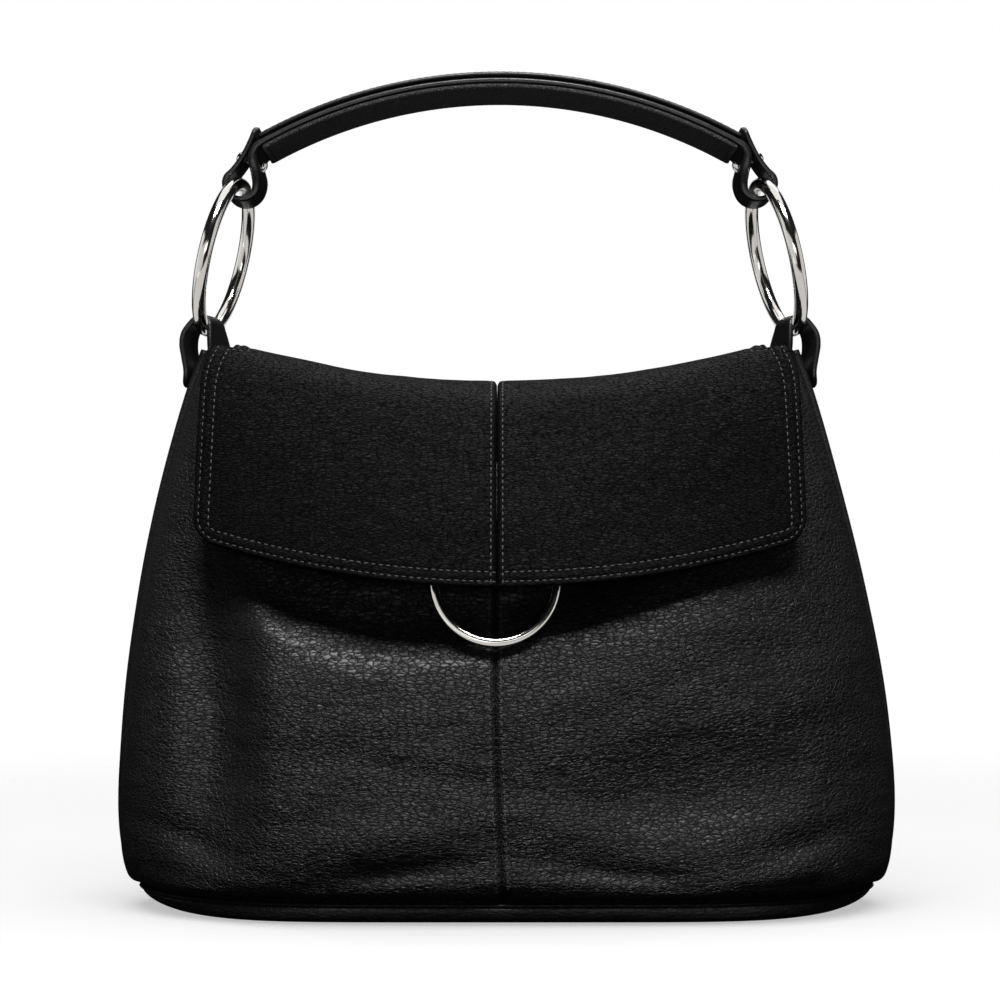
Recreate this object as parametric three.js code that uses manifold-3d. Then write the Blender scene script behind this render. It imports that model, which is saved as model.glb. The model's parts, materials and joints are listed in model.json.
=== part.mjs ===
// A soft leather flap bag with one short arched handle on two big metal rings.
// Millimetres, +Z up. The front faces -Y, and the origin lies on the ground under the middle of the bag.
import * as THREE from 'three';
import { mergeVertices } from 'three/addons/utils/BufferGeometryUtils.js';
import Module from 'manifold-3d';

const wasm = await Module();
wasm.setup();

// Leather, gaps and the slight lean of the soft body
const GAP = 0.3;                 // clearance between pieces that touch on the real bag
const WALL = 2.0;                // one layer of body leather
const SEAM_ALLOWANCE = 3.0;      // the body walls thicken this much where they turn in at a side seam
const LEAN = -2.8;               // the soft upper part sits this far to the left of the base
const LEAN_FOOT = 45;            // the lean starts at this height
const LEAN_RISE = 150;           // and is complete this much higher

// Base panel with its turned-up edge: rings from the ground up to the rim
const BASE_RIM_Z = 8.8;
const BASE_FLOOR = 2.0;
const BASE_END_WALL = 6;         // the tray is this thick at its two ends, which rise like a bow
const BASE_RINGS = [
  { z: 0,          halfWidth: 132.0, front: 44.8, back: 47.8 },
  { z: 1.2,        halfWidth: 143.0, front: 46.6, back: 49.6 },
  { z: 4,          halfWidth: 151.4, front: 48.0, back: 51.0 },
  { z: BASE_RIM_Z, halfWidth: 157.6, front: 49.0, back: 52.0 },
];

// Body sections: flatness squares the section's front, and roundness blunts its ends at the side seams
const BODY_SECTIONS = [
  { z: BASE_RIM_Z + GAP, halfWidth: 158.4, front: 49.3, back: 52.3, flatness: 4.2, roundness: 1.5 },
  { z: 14,  halfWidth: 162.2, front: 52.0, back: 55.2, flatness: 4.2, roundness: 1.5 },
  { z: 25,  halfWidth: 164.8, front: 54.6, back: 58.0, flatness: 4.2, roundness: 1.5 },
  { z: 45,  halfWidth: 166.0, front: 57.2, back: 61.8, flatness: 4.2, roundness: 1.5 },
  { z: 70,  halfWidth: 165.0, front: 58.0, back: 63.2, flatness: 4.2, roundness: 1.5 },
  { z: 100, halfWidth: 162.0, front: 55.0, back: 61.0, flatness: 4.2, roundness: 1.5 },
  { z: 137, halfWidth: 155.8, front: 47.0, back: 54.0, flatness: 4.3, roundness: 1.6 },
  { z: 165, halfWidth: 149.8, front: 38.0, back: 46.0, flatness: 4.6, roundness: 1.75 },
  { z: 195, halfWidth: 142.2, front: 29.0, back: 37.0, flatness: 5.0, roundness: 2.0 },
  { z: 221, halfWidth: 134.6, front: 22.5, back: 28.0, flatness: 5.6, roundness: 2.3 },
  { z: 241, halfWidth: 127.6, front: 19.0, back: 21.0, flatness: 6.0, roundness: 2.4 },
];
const MOUTH_MID_Z = 200;         // top edge of the body's walls at the middle, under the flap
const MOUTH_SIDE_Z = 237.5;      // and at the side seams
const MOUTH_CURVE = 3;           // how late the edge climbs towards the seams
// The front's centre seam: its x at the foot and above the height where it stops slanting
const FRONT_SEAM = { foot: -1.8, top: -4.8, rise: 100 };

// Folds of the soft front: place, slope in degrees, half length, half width and how far each stands out
const FRONT_FOLDS = [
  { x: -70,  z: 104, slope: 14,  length: 52, width: 17, rise: 2.4 },
  { x: 72,   z: 122, slope: 22,  length: 62, width: 15, rise: 2.0 },
  { x: 85,   z: 76,  slope: 4,   length: 60, width: 12, rise: -2.4 },
  { x: 0,    z: 43,  slope: 0,   length: 85, width: 7,  rise: 1.6 },
  { x: -62,  z: 27,  slope: 10,  length: 34, width: 5,  rise: -1.8 },
  { x: 62,   z: 27,  slope: -10, length: 34, width: 5,  rise: -1.8 },
  { x: -114, z: 82,  slope: 86,  length: 48, width: 9,  rise: -2.6 },
  { x: -136, z: 118, slope: 84,  length: 42, width: 8,  rise: 2.0 },
  { x: 122,  z: 26,  slope: 18,  length: 28, width: 6,  rise: -1.8 },
];
const FOLD_FADE = 12;            // folds die away this far above the base

// Flap: rows from its back hem over the crest to its front hem. drop is measured down from the crest line,
// and the depths are given at the middle and at the side edges. Behind the crest it lies on the back panel.
const FLAP_THICK = 2.6;
const FLAP_HALF_WIDTH = 123.5;   // front part
const FLAP_NECK_HALF_WIDTH = 114; // over the mouth and behind, between the tabs
const FLAP_CORNER = 10;          // round front corners
const FLAP_SEAM = -1.3;          // x of the flap's seam from its middle
const CREST_Z = 224.6;           // crest at the middle
const CREST_RISE = 18.6;         // the crest and the hem both rise this much towards the sides
const FLAP_ROWS = [
  { drop: 46,   yMiddle: 40,    ySide: 26 },
  { drop: 25,   yMiddle: 36,    ySide: 22 },
  { drop: 9,    yMiddle: 25,    ySide: 18 },
  { drop: 0,    yMiddle: 0,     ySide: 0 },
  { drop: 2.8,  yMiddle: -13.5, ySide: -12.5 },
  { drop: 9.5,  yMiddle: -24,   ySide: -19 },
  { drop: 26,   yMiddle: -34.5, ySide: -26.5 },
  { drop: 57,   yMiddle: -50,   ySide: -35 },
  { drop: 87.4, yMiddle: -63,   ySide: -42 },
];
const FLAP_EAR_FROM = -11.5;     // the front part widens to its ears between these depths
const FLAP_EAR_TO = -15.5;
const FLAP_SEAT_DROP = 12;       // below this drop the flap's back follows the back panel
const FLAP_SEAT_GAP = 0.8;
const FLAP_HEM_CROWDING = 1.6;   // rows of facets crowd towards the hem, where the corners are round

// Side rings, placed by their distance outwards from the leaning centre plane
const RING = { out: 119.4, z: 278.2, radius: 32.2, wire: 3.0, lean: 14, yaw: 5 };
const RING_STEPS = 36;           // facets round a ring and round its wire
const RING_SIDES = 10;

// Tabs that tie the rings to the bag's corners
const TAB = { out: 127.2, z: 248.2, bend: 6.1, thick: 2.4, width: 20, yaw: 10 };
const TAB_INNER_END = { out: 120.4, z: 236.6 };
const TAB_OUTER_LEG = [
  { out: 133.6, z: 239 },
  { out: 134.5, z: 230.5 },
  { out: 135.8, z: 222 },
];

// Handle: three layers along one arch
const HANDLE_CENTRE_Z = 143.4;
const HANDLE_TOP_RADIUS = 212;
const HANDLE_WIDTH = 34;
const COVER = { thick: 2.2, halfAngle: 29.2 };
const STRAP = { thick: 2.3, halfAngle: 27.5 };
const UNDERSIDE = { thick: 1.9, halfAngle: 27.4 };
const LOOP_WIDTH = 20;           // the strap narrows to this at its end loops
const LOOP = { out: 110.9, z: 309.2, bend: 7.2 };
const NECK = [
  { out: 100.6, z: 325.7 },
  { out: 103.7, z: 323.2 },
  { out: 104.9, z: 320.0 },
  { out: 104.3, z: 316.8 },
  { out: 103.3, z: 313.4 },
];
const LOOP_OUTER_LEG = [
  { out: 117.3, z: 312.8 },
  { out: 113.9, z: 316.8 },
  { out: 109.3, z: 321.8 },
  { out: 106.0, z: 327.4 },
  { out: 104.3, z: 332.5 },
];
const STRAP_TAPER = { from: 94.2, to: 103.5 }; // the strap narrows between these distances out
// Free tips round off over a length, and are parts of ellipses a little longer, so that they end blunt
const TAB_TIP = { round: 8, blunt: 8.4 };
const LOOP_TIP = { round: 4, blunt: 4.3 };

// Rivets through the handle's end loops
const RIVET = { out: 104.8, z: 318.8, tilt: 20, shank: 1.5, inner: -1.2, outer: 7.2 };
const RIVET_HEAD = { radius: 4, thick: 1.4, rim: 0.4, crownRadius: 2.6, crown: 1.1 };
const RIVET_SIDES = 14;

// Front ring that hangs from a hidden tab under the flap and leans on the front panel
const FRONT_RING = { z: 164.4, shift: -1.8, radius: 24.7, wire: 2.0 }; // shift from the flap's middle
const FRONT_RING_REACH = 2.44;   // wire radius and gap, measured along Y against the sloping panel
const FRONT_RING_TAB = { width: 10, wall: 1.5, bore: 2.9, plate: 1.6, rise: 26 };
const FRONT_RING_WRAP_END = 75.6; // angle where the tab's loop turns back to its plate, in degrees
const FRONT_RING_TAB_JOIN = 8.4; // height on the plate where it meets it

// Facets of the leather pieces
const BASE_HALF_STEPS = 28;
const FRONT_FACETS = { columns: 12, rows: 20 };
const BACK_FACETS = { columns: 22, rows: 16 };
const FLAP_FACETS = { columns: 9, rows: 26 };
const TAB_FACETS = { bend: 8, path: 30 };
const HANDLE_FACETS = { arch: 25, strapArch: 20, loop: 6, path: 90 };

const leather = new THREE.MeshStandardMaterial({ color: 0x17171a, roughness: 0.5, metalness: 0 });
const nickel = new THREE.MeshStandardMaterial({ color: 0xc8c5bf, roughness: 0.18, metalness: 1 });

const bag = new THREE.Group();

function addPiece(name, geometry, material, parent = bag) {
  const mesh = new THREE.Mesh(geometry, material);
  mesh.name = name;
  parent.add(mesh);
  return mesh;
}

// Row of a table at height z, with every column joined by a smooth cubic through the rows.
function sectionAt(table, z) {
  const last = table.length - 1;
  const upper = table.findIndex((row) => row.z >= z);
  const i = Math.min(Math.max((upper < 0 ? last : upper) - 1, 0), last - 1);
  const [a, b] = [table[i], table[i + 1]];
  const t = THREE.MathUtils.clamp((z - a.z) / (b.z - a.z), 0, 1);
  const slope = (k, name) => {
    const [low, high] = [table[Math.max(k - 1, 0)], table[Math.min(k + 1, last)]];
    return ((high[name] - low[name]) / (high.z - low.z)) * (b.z - a.z);
  };
  const row = {};
  for (const name of Object.keys(a)) {
    const bend = 3 * t * t - 2 * t * t * t;
    const leaving = t * (1 - t) * (1 - t) * slope(i, name);
    const arriving = t * t * (t - 1) * slope(i + 1, name);
    row[name] = a[name] + (b[name] - a[name]) * bend + leaving + arriving;
  }
  return row;
}

function leanAt(z) {
  return LEAN * THREE.MathUtils.smoothstep(z, LEAN_FOOT, LEAN_FOOT + LEAN_RISE);
}

// Depth of a lens-shaped section at a fraction of its half width.
function lensDepth(fraction, depth, flatness, roundness) {
  const inside = Math.max(1 - Math.pow(Math.abs(fraction), flatness), 0);
  return depth * Math.pow(inside, 1 / roundness);
}

// The folds of the front panel, as one displacement.
function foldRise(x, z) {
  let rise = 0;
  for (const fold of FRONT_FOLDS) {
    const slope = THREE.MathUtils.degToRad(fold.slope);
    const along = (x - fold.x) * Math.cos(slope) + (z - fold.z) * Math.sin(slope);
    const across = (z - fold.z) * Math.cos(slope) - (x - fold.x) * Math.sin(slope);
    rise += fold.rise * Math.exp(-((along / fold.length) ** 2) - (across / fold.width) ** 2);
  }
  return rise * THREE.MathUtils.smoothstep(z, BASE_RIM_Z, BASE_RIM_Z + FOLD_FADE);
}

// Angle whose sine is the fraction of the half width where a section's wall is as thin as the gap.
function sideAngle(row, depth) {
  const closed = 1 - Math.pow(GAP / depth, row.roundness);
  return Math.asin(Math.pow(closed, 1 / row.flatness));
}

// Turn at which the front's centre seam crosses a height.
function seamTurn(z) {
  const row = sectionAt(BODY_SECTIONS, z);
  const slant = THREE.MathUtils.smoothstep(z, 0, FRONT_SEAM.rise);
  const x = THREE.MathUtils.lerp(FRONT_SEAM.foot, FRONT_SEAM.top, slant);
  return Math.asin((x - leanAt(z)) / row.halfWidth) / sideAngle(row, row.front);
}

// Point of the body's wall: face is -1 for the front and 1 for the back, and turn runs from -1 at the left
// seam to 1 at the right seam. The inner face is the same lens, smaller by the wall.
function bodyPoint(face, turn, z, inner) {
  const row = sectionAt(BODY_SECTIONS, z);
  const depth = face < 0 ? row.front : row.back;
  const fraction = Math.sin(turn * sideAngle(row, depth));
  const x = (row.halfWidth - (inner ? SEAM_ALLOWANCE : 0)) * fraction;
  const reach = lensDepth(fraction, depth - (inner ? WALL : 0), row.flatness, row.roundness);
  const fold = face < 0 ? foldRise(x, z) * (reach / depth) : 0;
  return new THREE.Vector3(x + leanAt(z), face * (reach + fold), z);
}

// Top edge of the body's walls.
function mouthZ(turn) {
  const climb = Math.pow(Math.abs(Math.sin((turn * Math.PI) / 2)), MOUTH_CURVE);
  return MOUTH_MID_Z + (MOUTH_SIDE_Z - MOUTH_MID_Z) * climb;
}

function signedVolume(positions, index) {
  const [a, b, c] = [new THREE.Vector3(), new THREE.Vector3(), new THREE.Vector3()];
  let volume = 0;
  for (let i = 0; i < index.length; i += 3) {
    a.fromArray(positions, 3 * index[i]);
    b.fromArray(positions, 3 * index[i + 1]);
    c.fromArray(positions, 3 * index[i + 2]);
    volume += a.dot(b.cross(c)) / 6;
  }
  return volume;
}

// Geometry from points and triangles, with its faces pointing out.
function closedGeometry(points, index) {
  const positions = points.flatMap((p) => [p.x, p.y, p.z]);
  const facing = signedVolume(positions, index) < 0 ? index.slice().reverse() : index;
  const geometry = new THREE.BufferGeometry();
  geometry.setAttribute('position', new THREE.Float32BufferAttribute(positions, 3));
  geometry.setIndex(facing);
  geometry.computeVertexNormals();
  return geometry;
}

// Closed tube of skin through rings with the same number of points, capped at both ends.
function loft(rings) {
  const count = rings[0].length;
  const index = [];
  for (let i = 0; i + 1 < rings.length; i++) {
    for (let k = 0; k < count; k++) {
      const [a, b] = [i * count + k, i * count + ((k + 1) % count)];
      index.push(a, b, b + count, a, b + count, a + count);
    }
  }
  const top = (rings.length - 1) * count;
  for (let k = 1; k + 1 < count; k++) {
    index.push(0, k + 1, k);
    index.push(top, top + k, top + k + 1);
  }
  return closedGeometry(rings.flat(), index);
}

// Wall between an outer and an inner surface, both functions of u and v from 0 to 1.
function wall(outer, inner, { columns, rows }) {
  const points = [];
  for (const face of [outer, inner]) {
    for (let j = 0; j <= rows; j++) {
      for (let i = 0; i <= columns; i++) {
        points.push(face(i / columns, j / rows));
      }
    }
  }
  const stride = columns + 1;
  const inside = stride * (rows + 1);
  const index = [];
  const quad = (a, b, c, d) => index.push(a, b, c, a, c, d);
  for (let j = 0; j < rows; j++) {
    for (let i = 0; i < columns; i++) {
      const a = j * stride + i;
      quad(a, a + 1, a + 1 + stride, a + stride);
      quad(inside + a, inside + a + stride, inside + a + 1 + stride, inside + a + 1);
    }
    const [left, right] = [j * stride, j * stride + columns];
    quad(left, left + stride, inside + left + stride, inside + left);
    quad(right, inside + right, inside + right + stride, right + stride);
  }
  for (let i = 0; i < columns; i++) {
    const top = rows * stride + i;
    quad(i, inside + i, inside + i + 1, i + 1);
    quad(top, top + 1, inside + top + 1, inside + top);
  }
  return closedGeometry(points, index);
}

// Second face of a sheet, the given thickness behind its first face.
function behind(surface, thick) {
  const step = 1e-3;
  return (u, v) => {
    const [u0, v0] = [Math.min(u, 1 - step), Math.min(v, 1 - step)];
    const corner = surface(u0, v0);
    const alongU = surface(u0 + step, v0).sub(corner);
    const alongV = surface(u0, v0 + step).sub(corner);
    const normal = alongU.cross(alongV).normalize();
    return surface(u, v).addScaledVector(normal, thick);
  };
}

// Strap along a path in the XZ plane, with a width across Y for each point of the path.
function strap(path, thick, widthAt) {
  const rings = path.map((point, i) => {
    const before = path[Math.max(i - 1, 0)];
    const after = path[Math.min(i + 1, path.length - 1)];
    const along = new THREE.Vector3().subVectors(after, before).normalize();
    const normal = new THREE.Vector3(-along.z, 0, along.x).multiplyScalar(thick / 2);
    const half = widthAt(i) / 2;
    const corner = (side, y) => point.clone().addScaledVector(normal, side).setY(y);
    return [corner(1, -half), corner(1, half), corner(-1, half), corner(-1, -half)];
  });
  return loft(rings);
}

// Share of its width that a strap keeps at a distance from its free tip.
function tipShare(tip, fromTip) {
  const into = Math.max(tip.round - fromTip, 0) / tip.blunt;
  return Math.sqrt(1 - into * into);
}

function solidOf(geometry) {
  const bare = geometry.clone();
  bare.deleteAttribute('normal');
  bare.deleteAttribute('uv');
  const merged = mergeVertices(bare, 1e-4);
  const vertProperties = merged.getAttribute('position').array;
  const triVerts = new Uint32Array(merged.index.array);
  return new wasm.Manifold(new wasm.Mesh({ numProp: 3, vertProperties, triVerts }));
}

function geometryOf(solid) {
  const mesh = solid.getMesh();
  const geometry = new THREE.BufferGeometry();
  geometry.setAttribute('position', new THREE.Float32BufferAttribute(mesh.vertProperties, 3));
  geometry.setIndex(Array.from(mesh.triVerts));
  geometry.computeVertexNormals();
  return geometry;
}

// Point at a distance out from the leaning centre plane, on the left (-1) or the right (1).
function outwards(side, out, z) {
  return new THREE.Vector3(LEAN + side * out, 0, z);
}

// Points on a smooth curve through the given ones, evenly spaced.
function smoothPath(points, steps) {
  return new THREE.CatmullRomCurve3(points, false, 'centripetal').getSpacedPoints(steps);
}

function arc(steps, pointAt) {
  return Array.from({ length: steps + 1 }, (_, i) => pointAt(i / steps));
}

// Base: a shallow tray whose outer and inner faces are lens-shaped rings
function addBase() {
  const foot = BODY_SECTIONS[0];
  const ring = (row, inset, z) => {
    const points = [];
    for (const face of [-1, 1]) {
      for (let k = 0; k < BASE_HALF_STEPS; k++) {
        const fraction = Math.sin((1 - (2 * k) / BASE_HALF_STEPS) * face * (Math.PI / 2));
        const depth = (face < 0 ? row.front : row.back) - inset;
        const reach = lensDepth(fraction, depth, foot.flatness, foot.roundness);
        const width = row.halfWidth - inset * (BASE_END_WALL / WALL);
        points.push(new THREE.Vector3(width * fraction, face * reach, z));
      }
    }
    return points;
  };
  const outer = BASE_RINGS.map((row) => ring(row, 0, row.z));
  const inner = BASE_RINGS.slice(1).reverse().map((row) => ring(row, WALL, Math.max(row.z, BASE_FLOOR)));
  addPiece('base', loft([...outer, ...inner]), leather);
}

// Body: two front halves that meet at the centre seam, and a back in one piece
function addBody() {
  const foot = BODY_SECTIONS[0].z;
  const panel = (face, from, to) => (inner) => (u, v) => {
    const seamZ = THREE.MathUtils.lerp(foot, MOUTH_MID_Z, v);
    const turn = THREE.MathUtils.lerp(from(seamZ), to(seamZ), u);
    return bodyPoint(face, turn, THREE.MathUtils.lerp(foot, mouthZ(turn), v), inner);
  };
  const centre = GAP / 2 / BODY_SECTIONS[0].halfWidth;
  const left = panel(-1, () => -1, (z) => seamTurn(z) - centre);
  const right = panel(-1, (z) => seamTurn(z) + centre, () => 1);
  const back = panel(1, () => -1, () => 1);
  addPiece('front_panel_left', wall(left(false), left(true), FRONT_FACETS), leather);
  addPiece('front_panel_right', wall(right(false), right(true), FRONT_FACETS), leather);
  addPiece('back_panel', wall(back(false), back(true), BACK_FACETS), leather);
}

function crestAt(x) {
  return CREST_Z + CREST_RISE * ((x - LEAN) / FLAP_HALF_WIDTH) ** 2;
}

// Depth of the front (-1) or back (1) panel's outer face at a place.
function faceDepthAt(face, x, z) {
  const row = sectionAt(BODY_SECTIONS, z);
  const depth = face < 0 ? row.front : row.back;
  const fraction = (x - leanAt(z)) / row.halfWidth;
  const reach = lensDepth(fraction, depth, row.flatness, row.roundness);
  return face < 0 ? reach + foldRise(x - leanAt(z), z) * (reach / depth) : reach;
}

// Flap rows as one curve: its x and y hold the depths at the middle and at the sides, its z the drop.
const flapCurve = new THREE.CatmullRomCurve3(
  FLAP_ROWS.map((row) => new THREE.Vector3(row.yMiddle, row.ySide, row.drop)),
  false,
  'centripetal',
);
const FLAP_LENGTH = flapCurve.getLength();

// Point of the flap's outer face: turn runs from -1 at the left edge to 1 at the right, v from back to hem.
function flapPoint(turn, v) {
  const row = flapCurve.getPointAt(v);
  const ear = THREE.MathUtils.smoothstep(-row.x, -FLAP_EAR_FROM, -FLAP_EAR_TO);
  const full = THREE.MathUtils.lerp(FLAP_NECK_HALF_WIDTH, FLAP_HALF_WIDTH, ear);
  const intoCorner = Math.max(FLAP_CORNER - (1 - v) * FLAP_LENGTH, 0);
  const half = full - FLAP_CORNER + Math.sqrt(FLAP_CORNER ** 2 - intoCorner ** 2);
  const x = LEAN + half * turn;
  const z = crestAt(x) - row.z;
  const bow = ((x - LEAN) / FLAP_HALF_WIDTH) ** 2;
  const free = THREE.MathUtils.lerp(row.x, row.y, bow);
  const seat = faceDepthAt(1, x, z) + FLAP_SEAT_GAP + FLAP_THICK;
  const seated = free > 0 && row.z > FLAP_SEAT_DROP;
  return new THREE.Vector3(x, seated ? Math.max(free, seat) : free, z);
}

function addFlap() {
  const [seam, centre] = [FLAP_SEAM / FLAP_HALF_WIDTH, GAP / 2 / FLAP_HALF_WIDTH];
  const half = (from, to) => (u, v) => {
    const along = 1 - Math.pow(1 - v, FLAP_HEM_CROWDING);
    return flapPoint(THREE.MathUtils.lerp(from, to, u), along);
  };
  const left = half(-1, seam - centre);
  const right = half(seam + centre, 1);
  addPiece('flap_left', wall(left, behind(left, FLAP_THICK), FLAP_FACETS), leather);
  addPiece('flap_right', wall(right, behind(right, FLAP_THICK), FLAP_FACETS), leather);
}

// Side ring: it leans inwards at the top and is turned a little towards the front
function addRing(side, name) {
  const ring = new THREE.TorusGeometry(RING.radius, RING.wire, RING_SIDES, RING_STEPS);
  ring.rotateY(Math.PI / 2);
  const mesh = addPiece(name, ring, nickel);
  mesh.position.copy(outwards(side, RING.out, RING.z));
  const [lean, yaw] = [RING.lean, RING.yaw].map(THREE.MathUtils.degToRad);
  mesh.rotation.set(0, -side * lean, side * yaw, 'YZX');
}

// Tab: a strap that goes up from inside the bag's corner, over the ring's wire and down outside
function addTab(side, name) {
  const top = arc(TAB_FACETS.bend, (t) => {
    const angle = Math.PI * t;
    return new THREE.Vector3(-TAB.bend * Math.cos(angle), 0, TAB.z + TAB.bend * Math.sin(angle));
  });
  const leg = ({ out, z }) => new THREE.Vector3(out - TAB.out, 0, z);
  const path = smoothPath([leg(TAB_INNER_END), ...top, ...TAB_OUTER_LEG.map(leg)], TAB_FACETS.path);
  const tip = path.length - 1;
  const step = path[0].distanceTo(path[1]);
  const width = (i) => TAB.width * tipShare(TAB_TIP, (tip - i) * step);
  const holder = new THREE.Group();
  holder.position.set(LEAN + side * TAB.out, 0, 0);
  holder.rotation.z = side < 0 ? Math.PI : 0;
  bag.add(holder);
  const mesh = addPiece(name, strap(path, TAB.thick, width), leather, holder);
  mesh.rotation.z = side * THREE.MathUtils.degToRad(TAB.yaw);
}

// Point on the handle's arch at a radius and an angle from its top.
function archPoint(radius, degrees) {
  const angle = THREE.MathUtils.degToRad(degrees);
  const x = LEAN + radius * Math.sin(angle);
  return new THREE.Vector3(x, 0, HANDLE_CENTRE_Z + radius * Math.cos(angle));
}

function archLayer(radius, halfAngle, steps) {
  return arc(steps, (t) => archPoint(radius, halfAngle * (2 * t - 1)));
}

// Rivet with a domed head at each end of its shank, grown all round for the clearance that it needs.
function rivetGeometry(grow) {
  const { inner, outer } = RIVET;
  const [shank, rim] = [RIVET.shank + grow, RIVET_HEAD.radius + grow];
  const profile = [
    [0, inner - RIVET_HEAD.thick - grow],
    [RIVET_HEAD.crownRadius, inner - RIVET_HEAD.crown - grow],
    [rim, inner - RIVET_HEAD.rim],
    [rim, inner + grow],
    [shank, inner + grow],
    [shank, outer - grow],
    [rim, outer - grow],
    [rim, outer + RIVET_HEAD.rim],
    [RIVET_HEAD.crownRadius, outer + RIVET_HEAD.crown + grow],
    [0, outer + RIVET_HEAD.thick + grow],
  ];
  const outline = profile.map(([radius, along]) => new THREE.Vector2(radius, along));
  return new THREE.LatheGeometry(outline, RIVET_SIDES);
}

// Rivet in its place: its axis runs outwards and up from the neck through the loop's outer leg.
function placedRivet(side, grow) {
  const geometry = rivetGeometry(grow);
  geometry.rotateX(Math.PI / 2);
  geometry.rotateY(side * (Math.PI / 2 - THREE.MathUtils.degToRad(RIVET.tilt)));
  const seat = outwards(side, RIVET.out, RIVET.z);
  return geometry.translate(seat.x, seat.y, seat.z);
}

// Handle: a cover, a strap whose ends loop round the rings, an underside and the rivets
function addHandle() {
  const coverRadius = HANDLE_TOP_RADIUS - COVER.thick / 2;
  const strapRadius = HANDLE_TOP_RADIUS - COVER.thick - GAP - STRAP.thick / 2;
  const underRadius = strapRadius - STRAP.thick / 2 - GAP - UNDERSIDE.thick / 2;
  const cover = archLayer(coverRadius, COVER.halfAngle, HANDLE_FACETS.arch);
  const under = archLayer(underRadius, UNDERSIDE.halfAngle, HANDLE_FACETS.arch);
  addPiece('handle_cover', strap(cover, COVER.thick, () => HANDLE_WIDTH), leather);
  addPiece('handle_underside', strap(under, UNDERSIDE.thick, () => HANDLE_WIDTH), leather);

  const end = (side) => {
    const place = ({ out, z }) => outwards(side, out, z);
    const bottom = arc(HANDLE_FACETS.loop, (t) => {
      const angle = Math.PI * t;
      return outwards(side, LOOP.out - LOOP.bend * Math.cos(angle), LOOP.z - LOOP.bend * Math.sin(angle));
    });
    return [...NECK.map(place), ...bottom, ...LOOP_OUTER_LEG.map(place)];
  };
  const arch = archLayer(strapRadius, STRAP.halfAngle, HANDLE_FACETS.strapArch);
  const path = smoothPath([...end(-1).reverse(), ...arch, ...end(1)], HANDLE_FACETS.path);
  const step = path[0].distanceTo(path[1]);
  const width = (i) => {
    const out = Math.abs(path[i].x - LEAN);
    const narrow = THREE.MathUtils.smoothstep(out, STRAP_TAPER.from, STRAP_TAPER.to);
    const fromTip = Math.min(i, path.length - 1 - i) * step;
    return THREE.MathUtils.lerp(HANDLE_WIDTH, LOOP_WIDTH, narrow) * tipShare(LOOP_TIP, fromTip);
  };
  let body = solidOf(strap(path, STRAP.thick, width));
  for (const side of [-1, 1]) {
    body = body.subtract(solidOf(placedRivet(side, GAP)));
  }
  addPiece('handle_strap', geometryOf(body), leather);
  addPiece('rivet_left', placedRivet(-1, 0), nickel);
  addPiece('rivet_right', placedRivet(1, 0), nickel);
}

// Value between low and high at which a test that holds at low stops holding.
function bisect(low, high, holds) {
  let [a, b] = [low, high];
  for (let i = 0; i < 40; i++) {
    const middle = (a + b) / 2;
    if (holds(middle)) a = middle;
    else b = middle;
  }
  return a;
}

// Lean at which the front ring, hung by the middle of its top wire, comes to rest on the front panel.
function restingLean(hung) {
  return bisect(Math.PI / 4, 0, (lean) => {
    const gaps = arc(RING_STEPS, (t) => {
      const angle = 2 * Math.PI * t;
      const down = FRONT_RING.radius * (1 - Math.cos(angle));
      const x = hung.x + FRONT_RING.radius * Math.sin(angle);
      const z = hung.z - down * Math.cos(lean);
      return -faceDepthAt(-1, x, z) - (hung.y - down * Math.sin(lean));
    });
    return Math.min(...gaps) > FRONT_RING_REACH;
  });
}

// Front ring and its tab, which follows the flap's underside and wraps the ring's top
function addFrontRing() {
  const underside = behind((u, v) => flapPoint(2 * u - 1, v), FLAP_THICK + GAP);
  const across = 0.5 + FRONT_RING.shift / (2 * FLAP_HALF_WIDTH);
  const seatAt = (z) => underside(across, bisect(0.5, 1, (v) => underside(across, v).z > z));
  const eye = seatAt(FRONT_RING.z);
  const slope = seatAt(FRONT_RING.z + FRONT_RING_TAB.rise).sub(eye).normalize();
  const inwards = new THREE.Vector3(0, slope.z, -slope.y);
  const outer = FRONT_RING_TAB.bore + FRONT_RING_TAB.wall;
  const centre = eye.clone().addScaledVector(inwards, outer);
  const shape = new THREE.Shape();
  shape.moveTo(0, FRONT_RING_TAB.rise);
  shape.lineTo(0, 0);
  const wrapEnd = 2 * Math.PI + THREE.MathUtils.degToRad(FRONT_RING_WRAP_END);
  shape.absarc(outer, 0, outer, Math.PI, wrapEnd, false);
  shape.lineTo(FRONT_RING_TAB.plate, FRONT_RING_TAB_JOIN);
  shape.lineTo(FRONT_RING_TAB.plate, FRONT_RING_TAB.rise);
  const bore = new THREE.Path();
  bore.absarc(outer, 0, FRONT_RING_TAB.bore, 0, Math.PI * 2, true);
  shape.holes.push(bore);
  const depth = FRONT_RING_TAB.width;
  const tab = new THREE.ExtrudeGeometry(shape, { depth, bevelEnabled: false, curveSegments: 10 });
  tab.translate(0, 0, -depth / 2);
  const sideways = new THREE.Vector3().crossVectors(inwards, slope);
  const turn = new THREE.Matrix4().makeBasis(inwards, slope, sideways);
  tab.applyMatrix4(turn.setPosition(eye));
  addPiece('front_ring_tab', tab, leather);

  const ring = new THREE.TorusGeometry(FRONT_RING.radius, FRONT_RING.wire, RING_SIDES, RING_STEPS);
  const mesh = addPiece('front_ring', ring, nickel);
  mesh.geometry.rotateX(Math.PI / 2);
  mesh.geometry.translate(0, 0, -FRONT_RING.radius);
  mesh.position.copy(centre);
  mesh.rotation.x = -restingLean(centre);
}

addBase();
addBody();
addFlap();
for (const [side, word] of [[-1, 'left'], [1, 'right']]) {
  addRing(side, `ring_${word}`);
  addTab(side, `tab_${word}`);
}
addHandle();
addFrontRing();

export default bag;
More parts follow.
